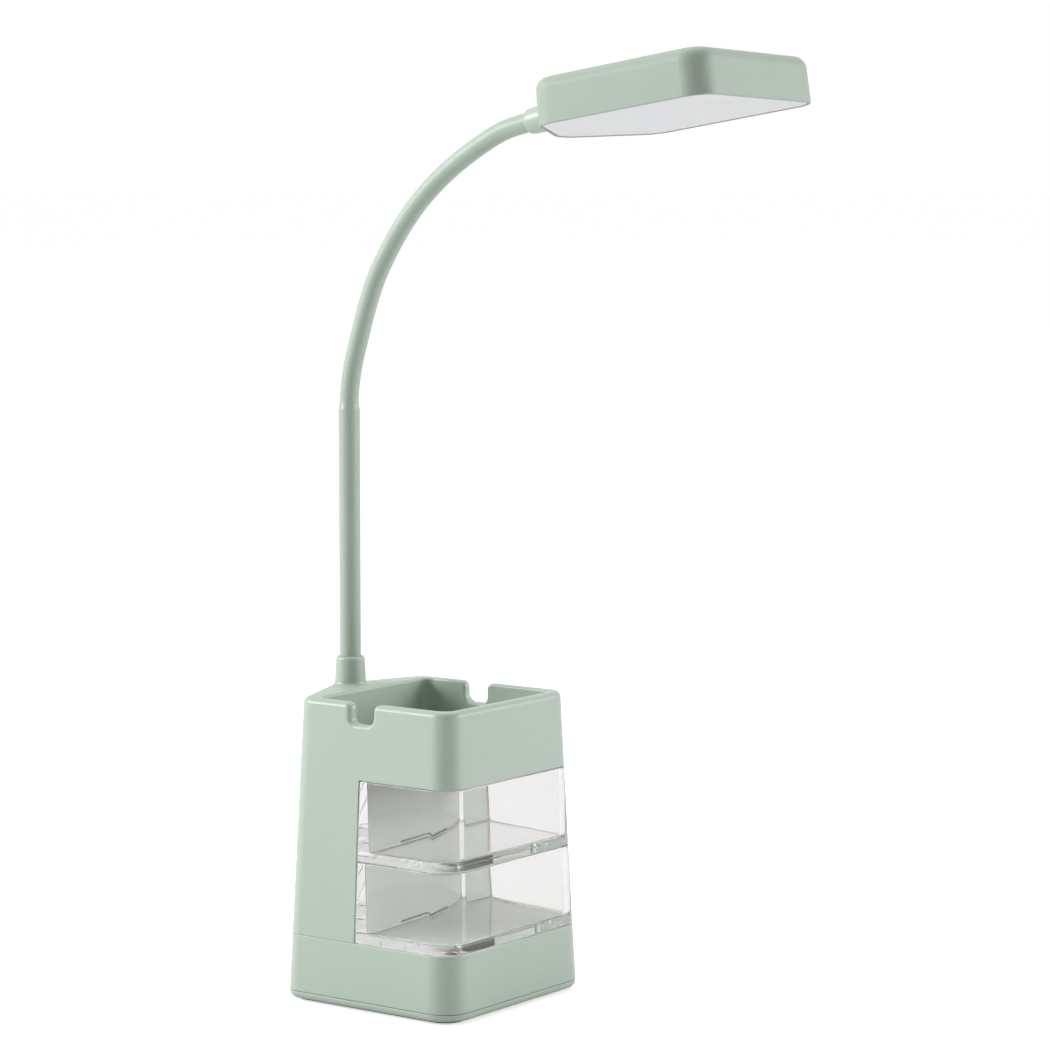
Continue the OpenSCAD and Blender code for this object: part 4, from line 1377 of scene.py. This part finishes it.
world = bpy.data.worlds.new("studio")
bpy.context.scene.world = world
world.use_nodes = True
wt = world.node_tree
wt.nodes.clear()
wo = wt.nodes.new("ShaderNodeOutputWorld")
wtc = wt.nodes.new("ShaderNodeTexCoord")
dot = wt.nodes.new("ShaderNodeVectorMath")
dot.operation = "DOT_PRODUCT"
dot.inputs[1].default_value = tuple(CAM_DIR)
wt.links.new(wtc.outputs["Generated"], dot.inputs[0])
wr = wt.nodes.new("ShaderNodeValToRGB")
wm = wt.nodes.new("ShaderNodeMapRange")
wm.inputs["From Min"].default_value = -1.0
wm.inputs["From Max"].default_value = 1.0
wt.links.new(dot.outputs["Value"], wm.inputs["Value"])
wt.links.new(wm.outputs["Result"], wr.inputs["Fac"])
for e in list(wr.color_ramp.elements)[1:]:
    wr.color_ramp.elements.remove(e)
wr.color_ramp.elements[0].position = 0.0
wr.color_ramp.elements[0].color = (1, 1, 1, 1)
for pos, val in ((0.20, 1.0), (0.38, 0.9), (0.55, 0.58), (0.72, 0.26), (1.0, 0.18)):
    e = wr.color_ramp.elements.new(pos)
    e.color = (val, val, val, 1)
light_bg = wt.nodes.new("ShaderNodeBackground")
wt.links.new(wr.outputs["Color"], light_bg.inputs["Color"])
light_bg.inputs["Strength"].default_value = 0.78
seen_bg = wt.nodes.new("ShaderNodeBackground")
seen_bg.inputs["Color"].default_value = (1, 1, 1, 1)
seen_bg.inputs["Strength"].default_value = 1.0
wlp = wt.nodes.new("ShaderNodeLightPath")
wmix = wt.nodes.new("ShaderNodeMixShader")
wt.links.new(wlp.outputs["Is Camera Ray"], wmix.inputs["Fac"])
wt.links.new(light_bg.outputs["Background"], wmix.inputs[1])
wt.links.new(seen_bg.outputs["Background"], wmix.inputs[2])
wt.links.new(wmix.outputs["Shader"], wo.inputs["Surface"])

# the clear drawers lead light along their walls, which takes many bounces
cy = bpy.context.scene.cycles
cy.max_bounces = 32
cy.glossy_bounces = 24
cy.transmission_bounces = 24

vs = bpy.context.scene.view_settings
vs.view_transform = "Standard"
vs.look = "None"
vs.exposure = 0.0
vs.gamma = 1.0


def floor_disc():
    me = bpy.data.meshes.new("stage_floor")
    n = 96
    r = 40.0
    v = [(r * math.cos(2 * math.pi * i / n), r * math.sin(2 * math.pi * i / n), -0.0001) for i in range(n)]
    me.from_pydata(v, [], [list(range(n))])
    o = bpy.data.objects.new("stage_floor", me)
    bpy.context.scene.collection.objects.link(o)
    m_ = bpy.data.materials.new("stage")
    m_.use_nodes = True
    nt_ = m_.node_tree
    b_ = nt_.nodes["Principled BSDF"]
    b_.inputs["Base Color"].default_value = (0.77, 0.77, 0.77, 1)
    b_.inputs["Roughness"].default_value = 0.95
    b_.inputs["Specular IOR Level"].default_value = 0.1
    glow = nt_.nodes.new("ShaderNodeLightPath")
    b_.inputs["Emission Color"].default_value = (1, 1, 1, 1)
    gm = nt_.nodes.new("ShaderNodeMath")
    gm.operation = "MULTIPLY"
    gm.inputs[1].default_value = 0.6
    nt_.links.new(glow.outputs["Is Camera Ray"], gm.inputs[0])
    nt_.links.new(gm.outputs["Value"], b_.inputs["Emission Strength"])
    me.materials.append(m_)
    return o


floor_disc()


def area(name, loc, target, size, power, color=(1, 1, 1), size_y=None):
    d = bpy.data.lights.new(name, "AREA")
    d.shape = "RECTANGLE"
    d.size = size
    d.size_y = size_y or size
    d.energy = power
    d.color = color
    o = bpy.data.objects.new(name, d)
    bpy.context.scene.collection.objects.link(o)
    o.location = loc
    o.rotation_mode = "QUATERNION"
    o.rotation_quaternion = (Vector(target) - Vector(loc)).to_track_quat("-Z", "Y")
    o.visible_transmission = False      # the clear drawers show the room, not the shapes of the lamps
    return o


C = Vector((0, 0, 0.17))


def at_angle(deg, dist, height):
    """A place round the lamp, counted from the camera's direction towards the picture's right."""
    a = math.radians(deg)
    d = CAM_DIR * math.cos(a) + CAM_RIGHT * math.sin(a)
    return (d.x * dist, d.y * dist, height)


area("side_left", at_angle(-86, 3.0, 1.35), C, 1.8, 96.0, size_y=1.4)
area("side_right", at_angle(87, 3.0, 0.95), C, 1.8, 54.0, size_y=1.4)
area("overhead", at_angle(180, 0.25, 1.5), C, 1.2, 7.4)

cam_d = bpy.data.cameras.new("camera")
cam = bpy.data.objects.new("camera", cam_d)
bpy.context.scene.collection.objects.link(cam)
cam_d.sensor_width = 36.0
cam_d.lens = 3572.3 / 1050.0 * 36.0
cam_d.clip_start, cam_d.clip_end = 0.05, 100.0
az, el = math.radians(-53.604), math.radians(5.7803)
fwd = Vector((-math.sin(az) * math.cos(el), math.cos(az) * math.cos(el), -math.sin(el)))
cam.location = (-1.1664, -0.91391, 0.34725)
cam.rotation_mode = "QUATERNION"
cam.rotation_quaternion = fwd.to_track_quat("-Z", "Y")
bpy.context.scene.camera = cam
